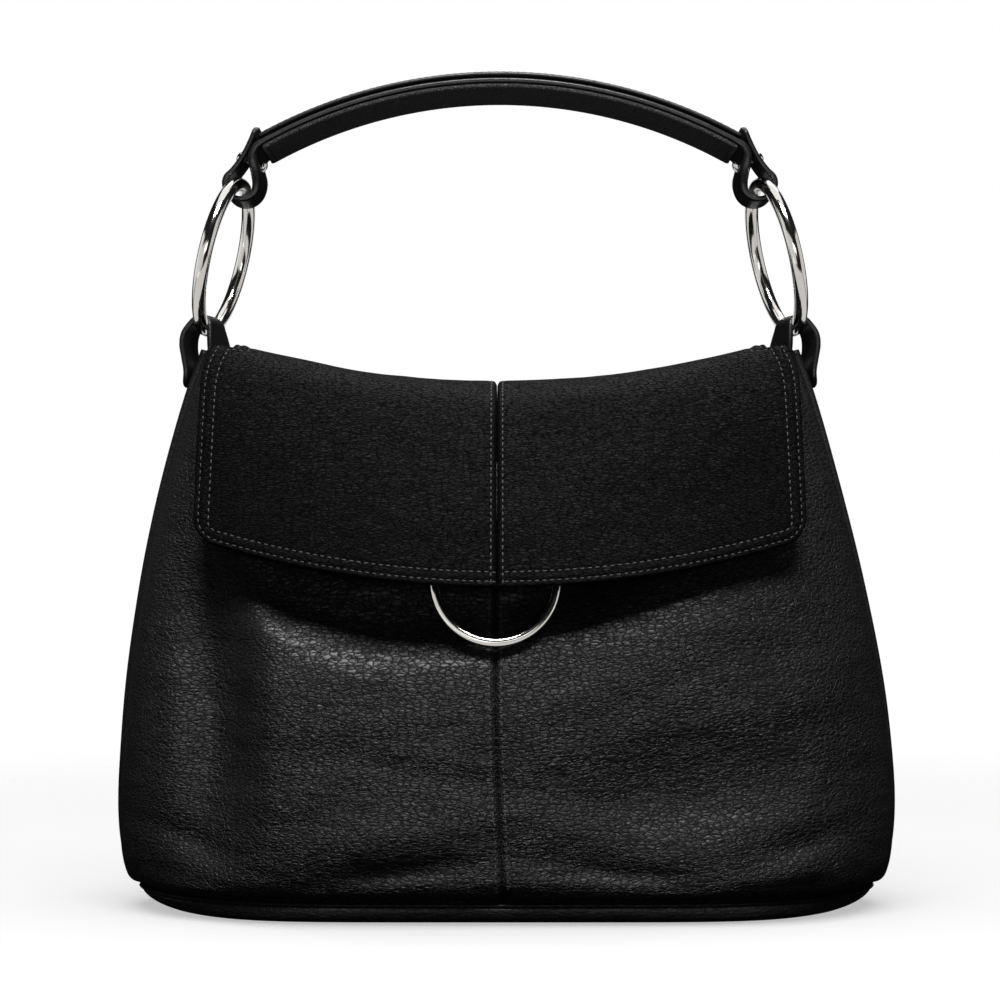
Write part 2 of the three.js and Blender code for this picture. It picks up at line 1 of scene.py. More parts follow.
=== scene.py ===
# %% [markdown]
# # A soft black leather flap bag
# This lesson dresses the solid model of a flap bag: two front panels, a back, a base, a flap in two halves,
# a handle in three layers on two big rings, and a smaller ring that hangs below the flap.
# Every shape is a formula on a grid of numbers, so that a seam, a fold or a stitch row can be moved by
# changing one value. All shapes are worked out in millimetres, and the mesh writer turns them into metres.

# %% Load the solid model
import json
import math

import bpy
import numpy as np
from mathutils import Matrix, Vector

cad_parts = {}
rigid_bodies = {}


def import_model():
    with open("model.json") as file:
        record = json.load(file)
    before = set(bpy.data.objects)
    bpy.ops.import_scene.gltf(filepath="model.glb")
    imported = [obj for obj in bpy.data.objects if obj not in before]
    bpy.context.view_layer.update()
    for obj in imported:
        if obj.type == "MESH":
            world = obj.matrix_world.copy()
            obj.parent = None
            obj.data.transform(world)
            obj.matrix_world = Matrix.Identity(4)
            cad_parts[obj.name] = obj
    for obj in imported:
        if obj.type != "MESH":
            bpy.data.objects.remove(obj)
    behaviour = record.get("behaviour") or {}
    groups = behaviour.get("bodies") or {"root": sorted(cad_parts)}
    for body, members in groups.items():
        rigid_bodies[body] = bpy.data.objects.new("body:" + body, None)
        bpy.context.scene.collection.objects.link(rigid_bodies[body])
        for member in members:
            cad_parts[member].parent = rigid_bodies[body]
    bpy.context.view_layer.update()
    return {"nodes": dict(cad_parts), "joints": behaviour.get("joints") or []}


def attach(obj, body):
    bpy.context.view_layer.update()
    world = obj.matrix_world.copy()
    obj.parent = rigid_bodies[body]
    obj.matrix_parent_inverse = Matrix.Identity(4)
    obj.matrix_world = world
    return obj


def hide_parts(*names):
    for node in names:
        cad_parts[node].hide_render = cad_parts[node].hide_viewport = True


MM = 0.001                        # metres in a millimetre
SIDES = ((-1, "left"), (1, "right"))

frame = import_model()

# %% [markdown]
# ## Camera
# The bag is seen straight from the front, from a little below the middle of its height, by a long lens.
# The width of the base against the width of the body gives the distance, and the line where the eye level
# crosses the bag gives the height. A shift would frame it as well, but a small pitch keeps other views
# simple.

# %% Camera
LEAN = -2.8                       # the soft top sits this far to the left of the base
LENS, FILM = 70.25, 36            # focal length and film width
EYE_DISTANCE, EYE_HEIGHT = 842, 150
EYE_PITCH = math.radians(91.58)   # turned up from looking straight down

camera_data = bpy.data.cameras.new("camera")
camera_data.lens, camera_data.sensor_width = LENS, FILM
camera = bpy.data.objects.new("camera", camera_data)
camera.location = (LEAN * MM, -EYE_DISTANCE * MM, EYE_HEIGHT * MM)
camera.rotation_euler = (EYE_PITCH, 0, 0)
bpy.context.scene.collection.objects.link(camera)
bpy.context.scene.camera = camera
print("camera", [round(c, 3) for c in camera.location])

# %% [markdown]
# ## Shader maths as expressions
# A leather finish mixes several patterns, and wiring them by hand hides the idea. Here a socket is wrapped
# in a small class whose operators add Math nodes, so that a height reads as `tops * 0.5 - creases`.
# Every other node comes from one method, which first sets the node's own settings and then its inputs.

# %% Wires and finishes
class Wire:
    """A value in a finish. Operators on wires and numbers add Math nodes."""

    def __init__(self, finish, socket):
        self.finish = finish
        self.socket = socket

    def math(self, operation, *values):
        return self.finish.add("ShaderNodeMath", {"operation": operation}, dict(enumerate(values)))

    def __add__(self, other):
        return self.math("ADD", self, other)

    def __radd__(self, other):
        return self.math("ADD", other, self)

    def __sub__(self, other):
        return self.math("SUBTRACT", self, other)

    def __rsub__(self, other):
        return self.math("SUBTRACT", other, self)

    def __mul__(self, other):
        return self.math("MULTIPLY", self, other)

    def __rmul__(self, other):
        return self.math("MULTIPLY", other, self)

    def __abs__(self):
        return self.math("ABSOLUTE", self)

    def step(self, low, high):
        """0 below low, 1 above high, and a smooth step between them."""
        return self.finish.add("ShaderNodeMapRange", {"interpolation_type": "SMOOTHSTEP"},
                               {"Value": self, "From Min": low, "From Max": high})


class Finish:
    """The nodes of one material, or of the world."""

    def __init__(self, owner):
        owner.use_nodes = True
        self.owner = owner
        self.tree = owner.node_tree
        self.tree.nodes.clear()

    def add(self, kind, settings=None, inputs=None, out=0):
        """Adds a node: its settings first, then a value or a wire for each named or numbered socket."""
        node = self.tree.nodes.new(kind)
        for name, value in (settings or {}).items():
            setattr(node, name, value)
        for name, value in (inputs or {}).items():
            if isinstance(value, Wire):
                self.tree.links.new(value.socket, node.inputs[name])
            else:
                node.inputs[name].default_value = value
        return Wire(self, node.outputs[out]) if node.outputs else None

    def scaled(self, place, factors, offset=None):
        """A vector times factors, plus an offset."""
        inputs = {0: place, 1: factors}
        if offset is not None:
            inputs[2] = offset
        operation = "MULTIPLY" if offset is None else "MULTIPLY_ADD"
        return self.add("ShaderNodeVectorMath", {"operation": operation}, inputs)

    def noise(self, place, rate, detail=2.0, rough=0.5, out=0):
        """Noise with so many spots in each unit of the place, as a value or as a colour."""
        inputs = {"Vector": place, "Scale": rate, "Detail": detail, "Roughness": rough}
        return self.add("ShaderNodeTexNoise", {}, inputs, out)

    def bump(self, height, distance, strength=1.0):
        """The normal of a surface raised by a height times a distance."""
        inputs = {"Strength": strength, "Distance": distance, "Height": height}
        return self.add("ShaderNodeBump", {}, inputs, out="Normal")

    def blend(self, share, low, high):
        """A colour between two colours."""
        return self.add("ShaderNodeMix", {"data_type": "RGBA"}, {0: share, 6: low, 7: high}, out=2)

    def close(self, **inputs):
        """Ends the finish in one shader, with its inputs given by their names in plain letters."""
        named = {name.replace("_", " "): value for name, value in inputs.items()}
        shader = self.add("ShaderNodeBsdfPrincipled", {}, named)
        self.add("ShaderNodeOutputMaterial", {}, {"Surface": shader})
        return self.owner


print("wires and finishes are ready")

# %% [markdown]
# ## Leather
# The hide has rounded pebbles parted by fine cracks, a little longer across the bag than up it, and thin
# creases that run across them. A picture of leather would stretch over the folds, so the grain is made of
# cells: the distance to a cell's edge gives both the top of a pebble and the crack beside it.
# A worn black hide is dull in its cracks and waxed on its tops, so the wax is a coat that only the tops have.
# The cracks are also painted darker than the tops: painted shade, where light would not reach down into them.
# Each pebble has a little more or less of the wax, and a little more or less of the dye, which wears
# unevenly.
# The vertex attribute called grain says where the hide is pulled flat, as beside a seam, and there the
# pebbles fade.

# %% Leather finish
DRIFT, DRIFT_RATE = 5, 24.0       # slow bends of the grain in pebble heights, and their rate in a metre
JITTER, JITTER_RATE = 0.6, 0.9    # quick bends, and their rate in a pebble's height
SCATTER = 0.9                     # how unevenly the pebbles lie
TOP_EDGE, DOME_EDGE = 0.14, 0.42  # a pebble's top and its dome are full at these distances from a crack
CREASE_RATES = (0.16, 0.3, 0.8)   # rate of the creases in a pebble's height, along each axis
CREASE_EDGE = 0.07                # half the width of a crease, on the noise that makes it
WEAR_RATE, PORE_RATE = 30.0, 3200.0
TOP_RISE, DOME_RISE, CREASE_SINK, PORE_RISE = 0.45, 0.35, 0.6, 0.08   # shares of the relief
PULLED_RELIEF, PULLED_WAX = 0.2, 0.55   # relief and wax where the hide is pulled flat
WAX_SHARES = (0.5, 0.6, 0.4)      # wax on all pebbles, on each by chance, and by worn patches
DYE_SHARES = (0.3, 0.35, 0.8)     # dye on all pebbles, on each by chance, and by worn patches
# the cracks' colour is the grey times the first value, as painted shade; the second is their roughness
CRACK_PAINTED_SHADE, CRACK_ROUGH = 0.25, 0.85
GLOSS, COAT, COAT_HAZE = 0.45, 0.5, 0.05   # mirror of the hide, weight of the wax and its added roughness
LEATHERS = {
    # name: grey, pebble height in metres, its length over its height, relief in metres,
    # roughness, wax, creases
    "body_leather": ((0.006, 0.006, 0.0062), 0.0018, 1.8, 0.0004, 0.42, 0.85, 1.0),
    "flap_leather": ((0.0058, 0.0058, 0.006), 0.0010, 3.0, 0.0004, 0.42, 0.06, 1.0),
    "strap_leather": ((0.003, 0.003, 0.0032), 0.0006, 1.2, 0.00003, 0.28, 0.78, 0.2),
    "lining_leather": ((0.012, 0.012, 0.0124), 0.0011, 1.3, 0.0005, 0.45, 0.6, 0.8),
}


def leather(name, grey, cell, stretch, depth, rough, wax, crease):
    """Black leather from a row of the table. A pebble rises with the distance from the nearest crack, and a
    crease lies where slow noise crosses its middle value."""
    finish = Finish(bpy.data.materials.new(name))
    place = finish.add("ShaderNodeTexCoord", out="Object")
    keep = finish.add("ShaderNodeAttribute", {"attribute_name": "grain"}, out="Fac")
    bent = finish.scaled(finish.noise(place, DRIFT_RATE, 3.0, out="Color"), (DRIFT * cell,) * 3, place)
    bent = finish.scaled(finish.noise(place, JITTER_RATE / cell, out="Color"), (JITTER * cell,) * 3, bent)
    grid = finish.scaled(bent, (1 / (cell * stretch), 1 / cell, 1 / cell))
    cells = {"Vector": grid, "Scale": 1.0, "Randomness": SCATTER}
    edge = finish.add("ShaderNodeTexVoronoi", {"feature": "DISTANCE_TO_EDGE"}, cells, out="Distance")
    # A Math node turns the random colour of a cell into one number.
    each = finish.add("ShaderNodeTexVoronoi", {"feature": "F1"}, cells, out="Color") * 1.0
    tops = edge.step(0.0, TOP_EDGE)
    domes = edge.step(0.0, DOME_EDGE)
    lines = finish.noise(finish.scaled(bent, tuple(rate / cell for rate in CREASE_RATES)), 1.0, 3.0, 0.6)
    creases = (1 - abs(lines - 0.5).step(0.0, CREASE_EDGE)) * crease
    worn = finish.noise(place, WEAR_RATE, 4.0)
    pores = finish.noise(place, PORE_RATE)

    def patchy(shares):
        return shares[0] + each * shares[1] + worn * shares[2]

    raised = tops * TOP_RISE + domes * DOME_RISE - creases * CREASE_SINK
    raised = raised * (PULLED_RELIEF + (1 - PULLED_RELIEF) * keep) + pores * PORE_RISE
    waxed = tops * (1 - creases) * patchy(WAX_SHARES)
    coat = (waxed * keep + PULLED_WAX * (1 - keep)) * wax
    # The cracks take the darker colour as painted shade. The tops take the grey, more or less by chance and
    # by worn patches of dye.
    crack = tuple(CRACK_PAINTED_SHADE * c for c in grey)
    shade = finish.blend(tops * patchy(DYE_SHARES), crack + (1,), grey + (1,))
    return finish.close(Base_Color=shade, Roughness=CRACK_ROUGH - tops * (CRACK_ROUGH - rough),
                        Normal=finish.bump(raised, depth), Specular_IOR_Level=GLOSS * wax,
                        Coat_Weight=coat * COAT, Coat_Roughness=rough + COAT_HAZE)


BODY_LEATHER, FLAP_LEATHER, STRAP_LEATHER, LINING_LEATHER = (
    leather(name, *row) for name, row in LEATHERS.items())
print("leathers:", list(LEATHERS))

# %% [markdown]
# ## Metal and thread
# The rings and rivets are polished nickel: a warm grey mirror with a faint haze from handling and a few fine
# scratches. The thread is grey and dull, and its fibres show as a fine fuzz.

# %% Nickel and thread finishes
NICKEL_DULL, NICKEL_BRIGHT = (0.60, 0.575, 0.54, 1), (0.76, 0.735, 0.70, 1)
NICKEL_POLISH, NICKEL_HAZE, HAZE_RATE = 0.07, 0.1, 70.0
SCRATCH_RATES, SCRATCH_DEPTH, SCRATCH_STRENGTH = (900.0, 900.0, 120.0), 0.00004, 0.25
THREAD_DARK, THREAD_PALE = (0.03, 0.03, 0.032, 1), (0.10, 0.10, 0.103, 1)
THREAD_ROUGH, FUZZ_ROUGH, FUZZ_RATE, FUZZ_DEPTH, FUZZ_STRENGTH = 0.6, 0.2, 2600.0, 0.0001, 0.8


def nickel():
    """Polished nickel, hazier in slow patches."""
    finish = Finish(bpy.data.materials.new("nickel"))
    place = finish.add("ShaderNodeTexCoord", out="Object")
    haze = finish.noise(place, HAZE_RATE, 4.0)
    scratch = finish.noise(finish.scaled(place, SCRATCH_RATES), 1.0, 3.0)
    return finish.close(Base_Color=finish.blend(haze, NICKEL_DULL, NICKEL_BRIGHT), Metallic=1.0,
                        Roughness=NICKEL_POLISH + haze * NICKEL_HAZE,
                        Normal=finish.bump(scratch, SCRATCH_DEPTH, SCRATCH_STRENGTH))


def thread():
    """Grey sewing thread with a fuzz of fibres."""
    finish = Finish(bpy.data.materials.new("thread"))
    place = finish.add("ShaderNodeTexCoord", out="Object")
    fuzz = finish.noise(place, FUZZ_RATE)
    return finish.close(Base_Color=finish.blend(fuzz, THREAD_DARK, THREAD_PALE),
                        Roughness=THREAD_ROUGH + fuzz * FUZZ_ROUGH,
                        Normal=finish.bump(fuzz, FUZZ_DEPTH, FUZZ_STRENGTH))


NICKEL, THREAD = nickel(), thread()
print("metal and thread:", NICKEL.name, THREAD.name)

# %% [markdown]
# ## From grids to meshes
# All the leather is either a wall between two grids, or a strip whose outline is carried along a path.
# Both are closed, so that they have an inside, and the sign of the volume tells whether the faces point
# outwards. The arrays go into the mesh in one call each.

# %% Mesh writer
def grid_faces(index):
    """Quads between neighbours in an array of vertex numbers."""
    corners = (index[:-1, :-1], index[:-1, 1:], index[1:, 1:], index[1:, :-1])
    return np.stack(corners, -1).reshape(-1, 4)


def signed_volume(points, faces):
    """Sum over a fan of triangles of a . (b x c) / 6, which is positive where faces point outwards."""
    total = 0.0
    for block in faces:
        for k in range(1, block.shape[1] - 1):
            a, b, c = (points[block[:, corner]] for corner in (0, k, k + 1))
            total += np.sum(a * np.cross(b, c)) / 6
    return total


def write_mesh(name, points, faces, grain=None):
    """A mesh object from points in millimetres and blocks of faces, turned outwards."""
    if signed_volume(points, faces) < 0:
        faces = [block[:, ::-1] for block in faces]
    corners = np.concatenate([block.ravel() for block in faces])
    used, corners = np.unique(corners, return_inverse=True)
    sizes = np.concatenate([np.full(len(block), block.shape[1]) for block in faces])
    starts = np.cumsum(sizes) - sizes
    mesh = bpy.data.meshes.new(name)
    mesh.vertices.add(len(used))
    mesh.vertices.foreach_set("co", (points[used] * MM).astype(np.float32).ravel())
    mesh.loops.add(len(corners))
    mesh.loops.foreach_set("vertex_index", corners.astype(np.int32))
    mesh.polygons.add(len(sizes))
    mesh.polygons.foreach_set("loop_start", starts.astype(np.int32))
    mesh.polygons.foreach_set("use_smooth", np.ones(len(sizes), bool))
    mesh.update(calc_edges=True)
    mesh.validate()
    kept = np.ones(len(used)) if grain is None else grain[used]
    mesh.attributes.new("grain", "FLOAT", "POINT").data.foreach_set("value", kept.astype(np.float32))
    piece = bpy.data.objects.new(name, mesh)
    bpy.context.scene.collection.objects.link(piece)
    return piece


def wall(name, outer, inner, grain, welded=False):
    """Closed wall between two grids. Welded grids share their border points, and others get a rim."""
    rows, columns = outer.shape[:2]
    first = np.arange(rows * columns).reshape(rows, columns)
    second = first + rows * columns
    if welded:
        edge = np.ones((rows, columns), bool)
        edge[1:-1, 1:-1] = False
        second = np.where(edge, first, second)
    faces = [grid_faces(first), grid_faces(second)[:, ::-1]]
    if not welded:
        rims = ((first[0, ::-1], second[0, ::-1]), (first[-1], second[-1]),
                (first[:, 0], second[:, 0]), (first[::-1, -1], second[::-1, -1]))
        for near, far in rims:
            faces.append(np.stack([near[:-1], near[1:], far[1:], far[:-1]], -1))
    points = np.concatenate([outer.reshape(-1, 3), inner.reshape(-1, 3)])
    return write_mesh(name, points, faces, np.concatenate([grain.ravel(), grain.ravel()]))


def tube(name, loops, grain=None):
    """Closed skin through loops of points, with a flat cap at each end."""
    count, sides = loops.shape[:2]
    index = np.arange(count * sides).reshape(count, sides)
    around = np.concatenate([index, index[:, :1]], 1)
    faces = [grid_faces(around), index[:1, ::-1], index[-1:]]
    return write_mesh(name, loops.reshape(-1, 3), faces, grain)


def ring_skin(name, loops):
    """Closed skin through loops of points that come back to the first loop."""
    count, sides = loops.shape[:2]
    index = np.arange(count * sides).reshape(count, sides)
    around = np.concatenate([index, index[:1]], 0)
    around = np.concatenate([around, around[:, :1]], 1)
    return write_mesh(name, loops.reshape(-1, 3), [grid_faces(around)])


def dress(piece, material, slot, *nodes, body="bag"):
    """Gives a piece its finish and its body, and hides the solids that it stands for."""
    piece.data.materials.append(material)
    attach(piece, body)
    if nodes:
        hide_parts(*nodes)
    print(piece.name, len(piece.data.vertices), "points,", len(piece.data.polygons), "faces")
    return piece


print("a grid of 3 by 4 points has", len(grid_faces(np.arange(12).reshape(3, 4))), "faces")

# %% [markdown]
# ## Soft numbers
# Folds, grooves and rolls are sums of a few simple curves: a smooth step, a bell, and noise from a small
# table of seeded random numbers. A curve through points is a centripetal Catmull-Rom curve, which passes
# through each of them and makes no loops.

# %% Curves and noise
LATTICE = 64                      # random values on each side of a table of noise


def unit(vectors):
    """Vectors divided by their lengths."""
    return vectors / np.maximum(np.linalg.norm(vectors, axis=-1, keepdims=True), 1e-12)


def smoothstep(value, low, high):
    """0 below low, 1 above high, and 3t^2 - 2t^3 between, where t is the share of the way."""
    t = np.clip((value - low) / (high - low), 0, 1)
    return t * t * (3 - 2 * t)


def mix(low, high, share):
    """low plus a share of the way to high."""
    return low + (high - low) * share


def bell(value, place, width):
    """exp of minus the square of the distance from a place over a width."""
    return np.exp(-(((value - place) / width) ** 2))


def relief(distance, rows):
    """Sum over rows of rise, place and width: the rise times a bell at that place."""
    return sum(rise * bell(distance, place, width) for rise, place, width in rows)


def crowded(count, share=0.85):
    """Numbers from 0 to 1 that lie closer together at both ends: t - share sin(2 pi t) / 2 pi."""
    t = np.linspace(0, 1, count)
    return t - share * np.sin(2 * np.pi * t) / (2 * np.pi)


def noise(x, z, size_x, size_z, seed):
    """Random values from -1 to 1 on a lattice of the given sizes, joined by smooth steps."""
    lattice = np.random.default_rng(seed).uniform(-1, 1, (LATTICE, LATTICE))
    a, b = x / size_x + 5 * LATTICE, z / size_z + 5 * LATTICE
    i, j = np.floor(a).astype(int), np.floor(b).astype(int)
    s, t = smoothstep(a - i, 0, 1), smoothstep(b - j, 0, 1)
    at = [[lattice[(i + p) % LATTICE, (j + q) % LATTICE] for q in (0, 1)] for p in (0, 1)]
    return mix(mix(at[0][0], at[1][0], s), mix(at[0][1], at[1][1], s), t)


def crumple(x, z, rows, seed):
    """Sum over rows of rise, length, height and slant: the rise times noise of that size, on slanted x."""
    return sum(rise * noise(x + slant * z, z, length, height, seed + k)
               for k, (rise, length, height, slant) in enumerate(rows))


def normal_of(surface, u, v, step=1e-3):
    """Unit cross product of the surface's changes along u and along v."""
    along_u = surface(u + step, v) - surface(u - step, v)
    along_v = surface(u, v + step) - surface(u, v - step)
    return unit(np.cross(along_u, along_v))


def run_of(path):
    """Distance along a path."""
    return np.concatenate([[0], np.cumsum(np.linalg.norm(np.diff(path, axis=0), axis=1))])


def smooth_curve(points, count, fine=24):
    """Evenly spaced points on a curve through the given ones: cubics whose slope at a point is that of
    the parabola through it and its neighbours, over steps that grow with the root of the distance."""
    p = np.asarray(points, float)
    p = np.concatenate([[2 * p[0] - p[1]], p, [2 * p[-1] - p[-2]]])
    step = np.linalg.norm(np.diff(p, axis=0), axis=1)[:, None] ** 0.5
    chord = np.diff(p, axis=0) / step
    slope = chord[:-1] + chord[1:] - (p[2:] - p[:-2]) / (step[:-1] + step[1:])
    spot = np.linspace(0, len(p) - 3, fine * (len(p) - 3) + 1)
    i = np.minimum(spot.astype(int), len(p) - 4)
    t = (spot - i)[:, None]
    bend = t * (1 - t) ** 2 * slope[i] + t * t * (t - 1) * slope[i + 1]
    dense = mix(p[i + 1], p[i + 2], smoothstep(t, 0, 1)) + step[i + 1] * bend
    run = run_of(dense)
    at = np.linspace(0, run[-1], count)
    return np.stack([np.interp(at, run, column) for column in dense.T], -1)


print("noise from", noise(np.arange(5.0), np.arange(5.0), 2, 2, 1).round(2))

# %% [markdown]
# ## Body of the bag
# The body is two soft faces that meet at the sides, like a filled lens: flat in front, blunt at the ends,
# wide and deep below, and narrow at the mouth. A box would need gussets, and this bag has none.
# Each level is one lens, and a short table gives its width and depths, joined by cubics over the height.

# %% Body sections
BODY_ROWS = np.array([
    # z, half width, front depth, back depth, flatness, roundness
    (9.1, 158.4, 51.4, 52.3, 4.2, 1.5),
    (14, 162.2, 55.0, 55.2, 4.2, 1.5),
    (25, 164.8, 57.6, 58.0, 4.2, 1.5),
    (45, 166.0, 59.0, 61.8, 4.2, 1.5),
    (70, 165.0, 58.8, 63.2, 4.2, 1.5),
    (100, 162.0, 55.4, 61.0, 4.2, 1.5),
    (137, 155.8, 47.0, 54.0, 4.3, 1.6),
    (165, 149.8, 38.0, 46.0, 4.6, 1.75),
    (195, 142.2, 29.0, 37.0, 5.0, 2.0),
    (221, 134.6, 22.5, 28.0, 5.6, 2.3),
    (241, 127.6, 19.0, 21.0, 6.0, 2.4),
])
WALL = 2.0                        # one layer of leather
BODY_FOOT = 7.6                   # the panels tuck in behind the base's rim at this height
LEAN_HEIGHTS = 45, 195            # the lean grows between these heights
MOUTH_MIDDLE, MOUTH_SIDE, MOUTH_CURVE = 200, 237.5, 3
SEAM_DEPTH, SEAM_FORWARD = 0.8, 7.0   # depth of the side seams at the foot, and what they gain above it
SEAM_HEIGHTS = 12, 70             # they come forward between these heights
SEAM_FOOT, SEAM_TOP, SEAM_RISE = -1.8, -4.8, 100   # x of the centre seam, and the height of its slant


def rows_at(table, z):
    """The columns of a table at each height: cubics through the rows, with the slopes of their neighbours."""
    knots = table[:, 0]
    slopes = np.empty_like(table)
    slopes[1:-1] = (table[2:] - table[:-2]) / (knots[2:] - knots[:-2])[:, None]
    slopes[0] = (table[1] - table[0]) / (knots[1] - knots[0])
    slopes[-1] = (table[-1] - table[-2]) / (knots[-1] - knots[-2])
    i = np.clip(np.searchsorted(knots, z) - 1, 0, len(knots) - 2)
    span = (knots[i + 1] - knots[i])[..., None]
    t = np.clip((z - knots[i])[..., None] / span, 0, 1)
    bend = t * (1 - t) ** 2 * slopes[i] + t * t * (t - 1) * slopes[i + 1]
    values = mix(table[i], table[i + 1], smoothstep(t, 0, 1)) + span * bend
    return np.moveaxis(values[..., 1:], -1, 0)


def lens(fraction, depth, flatness, roundness):
    """depth (1 - |fraction|^flatness)^(1/roundness), which is deep in the middle and 0 at the ends."""
    return depth * np.clip(1 - np.abs(fraction) ** flatness, 0, None) ** (1 / roundness)


def lean_at(z):
    """How far the soft upper part has sunk to the left at a height."""
    return LEAN * smoothstep(z, *LEAN_HEIGHTS)


def mouth_at(turn):
    """Height of the body's top edge, which climbs late towards the side seams, with a power of the sine."""
    climb = np.abs(np.sin(np.clip(turn, -1, 1) * np.pi / 2)) ** MOUTH_CURVE
    return mix(MOUTH_MIDDLE, MOUTH_SIDE, climb)


def seam_edge(z, front, flatness, roundness):
    """Share of the half width where the front's depth is that of the side seam: the lens turned round."""
    depth = SEAM_DEPTH + SEAM_FORWARD * smoothstep(z, *SEAM_HEIGHTS)
    return (1 - (depth / front) ** roundness) ** (1 / flatness)


def seam_x(z):
    """Place of the front's centre seam at a height."""
    return mix(SEAM_FOOT, SEAM_TOP, smoothstep(z, 0, SEAM_RISE))


def front_turn(x, z):
    """The front's parameter at a place: the arc sine of the share of the width, over that of the seam."""
    half, front, _, flatness, roundness = rows_at(BODY_ROWS, z)
    return np.arcsin((x - lean_at(z)) / half) / np.arcsin(seam_edge(z, front, flatness, roundness))


print("body at half height: half width, depths, flatness and roundness",
      rows_at(BODY_ROWS, np.array(120.0)).round(1))

# %% [markdown]
# ## Folds of the front
# Soft leather without a stiffener sags: it bulges over the base, pulls in at the sides and throws a few
# long folds from the corners. Each fold is one row: its place, its slope, how long and wide it is, and how
# far it stands out or sinks in. The broad ones are in the solid model too, where they are shallower, and the
# last rows add small ones. Under the flap the front sinks into a hollow, which stays dark.

# %% Fold table
FOLDS = (
    # x, z, slope in degrees, half length, half width, rise
    (-66, 94, 10, 50, 15, 1.2),
    (72, 122, 22, 62, 15, 3.0),
    (85, 57, 8, 66, 24, -9.0),
    (-52, 35, 10, 48, 9, 2.8),
    (50, 36, -10, 46, 8, 1.3),
    (-45, 21, 9, 34, 5, -2.0),
    (45, 21, -9, 34, 5, -2.0),
    (-122, 112, 96, 46, 17, -14.0),
    (-121, 60, 82, 40, 17, -12.0),
    (-99, 88, 90, 48, 10, 3.8),
    (125, 33, 14, 30, 6, -3.0),
    (116, 21, 14, 28, 6, 1.8),
    (-122, 20, -14, 26, 6, 1.8),
    (-40, 62, -8, 46, 6, -0.9),
    (-30, 86, 8, 40, 6, 0.7),
    (40, 96, 20, 40, 6, 0.8),
    (110, 104, 30, 34, 7, -0.9),
    (128, 60, 70, 30, 7, 1.0),
    (-96, 44, 60, 26, 6, 0.8),
    (0, 16, 0, 100, 3.5, 1.0),
    (-130, 33, -20, 24, 5, -2.4),
)
FOLD_HEIGHTS = 10, 22             # the folds grow out of the base between these heights
HOLLOW_X, HOLLOW_Z, HOLLOW_DEPTH = -45, 101, 10   # lowest point of the hollow's edge, and how far it sinks
HOLLOW_LEFT, HOLLOW_RIGHT, HOLLOW_RISE = 98, 125, 45   # the edge climbs this far over these distances
HOLLOW_LIP = -8, 22               # from here below the edge to here above it the front sinks in
HOLLOW_ROOF = 146, 164            # between these heights the hollow closes behind the flap
HOLLOW_END = -124, -90            # towards the left it runs out between these places


def hollow(x, z):
    """The hollow under the flap: its lower edge is a parabola on either side of its lowest point."""
    reach = np.where(x < HOLLOW_X, HOLLOW_LEFT, HOLLOW_RIGHT)
    edge = HOLLOW_Z + HOLLOW_RISE * ((x - HOLLOW_X) / reach) ** 2
    sunk = smoothstep(z - edge, *HOLLOW_LIP) ** 2 * (1 - smoothstep(z, *HOLLOW_ROOF))
    return -HOLLOW_DEPTH * sunk * smoothstep(x, *HOLLOW_END)


def fold_relief(x, z):
    """Sum of the folds, rise times a bell along the fold and a bell across it, and the hollow."""
    total = np.zeros(np.broadcast(x, z).shape)
    for fold_x, fold_z, slope, length, width, rise in FOLDS:
        c, s = math.cos(math.radians(slope)), math.sin(math.radians(slope))
        along = (x - fold_x) * c + (z - fold_z) * s
        across = (z - fold_z) * c - (x - fold_x) * s
        total += rise * bell(along, 0, length) * bell(across, 0, width)
    return total * smoothstep(z, *FOLD_HEIGHTS) + hollow(x, z)


rises = [row[-1] for row in FOLDS]
print(len(FOLDS), "folds from", min(rises), "to", max(rises), "mm")

# %% [markdown]
# ## Front panels
# The front is sewn from two halves with a seam up the middle, and the side seams lie a little in front of
# the outline, so that a thin welt shows along each side. The seams pull the leather down into a groove and
# pucker it, and at the bottom the panel rolls over the base. All of that moves the surface along its normal.

# %% Front panels
WRINKLES = ((0.34, 26, 10, 0.0), (0.2, 12, 5, 0.4), (0.1, 6, 2.6, -0.3))   # rise, length, height, slant
FRONT_SEED, PUCKER_SEED = 3, 31
CENTRE_GROOVE = ((-1.15, 0, 1.0), (-0.5, 0, 6))   # rise, distance from the seam, width
SIDE_GROOVE = ((-1.7, 0, 1.1), (0.7, 4, 2.4))
TUCK = ((-2.8, BODY_FOOT, 2.4),)  # rise, height, width
PUCKER, PUCKER_PITCH, PUCKER_WIDTH = 0.22, 5.5, 9
FRONT_PULLED = 3, 15              # the hide is pulled flat from the side seam to these distances
CENTRE_SLIT = 0.08                # half the slit between two halves
FRONT_COLUMNS, FRONT_LEVELS, LEVEL_POWER = 130, 220, 1.3   # the levels crowd towards the foot


def front_form(turn, z):
    """The front from its left seam (-1) to its right seam (1): a lens with the folds on its depth."""
    half, front, _, flatness, roundness = rows_at(BODY_ROWS, z)
    fraction = np.sin(turn * np.arcsin(seam_edge(z, front, flatness, roundness)))
    reach = lens(fraction, front, flatness, roundness)
    x = half * fraction
    depth = reach + fold_relief(x, z) * reach / front
    return np.stack([x + lean_at(z), -depth, z + 0 * x], -1)


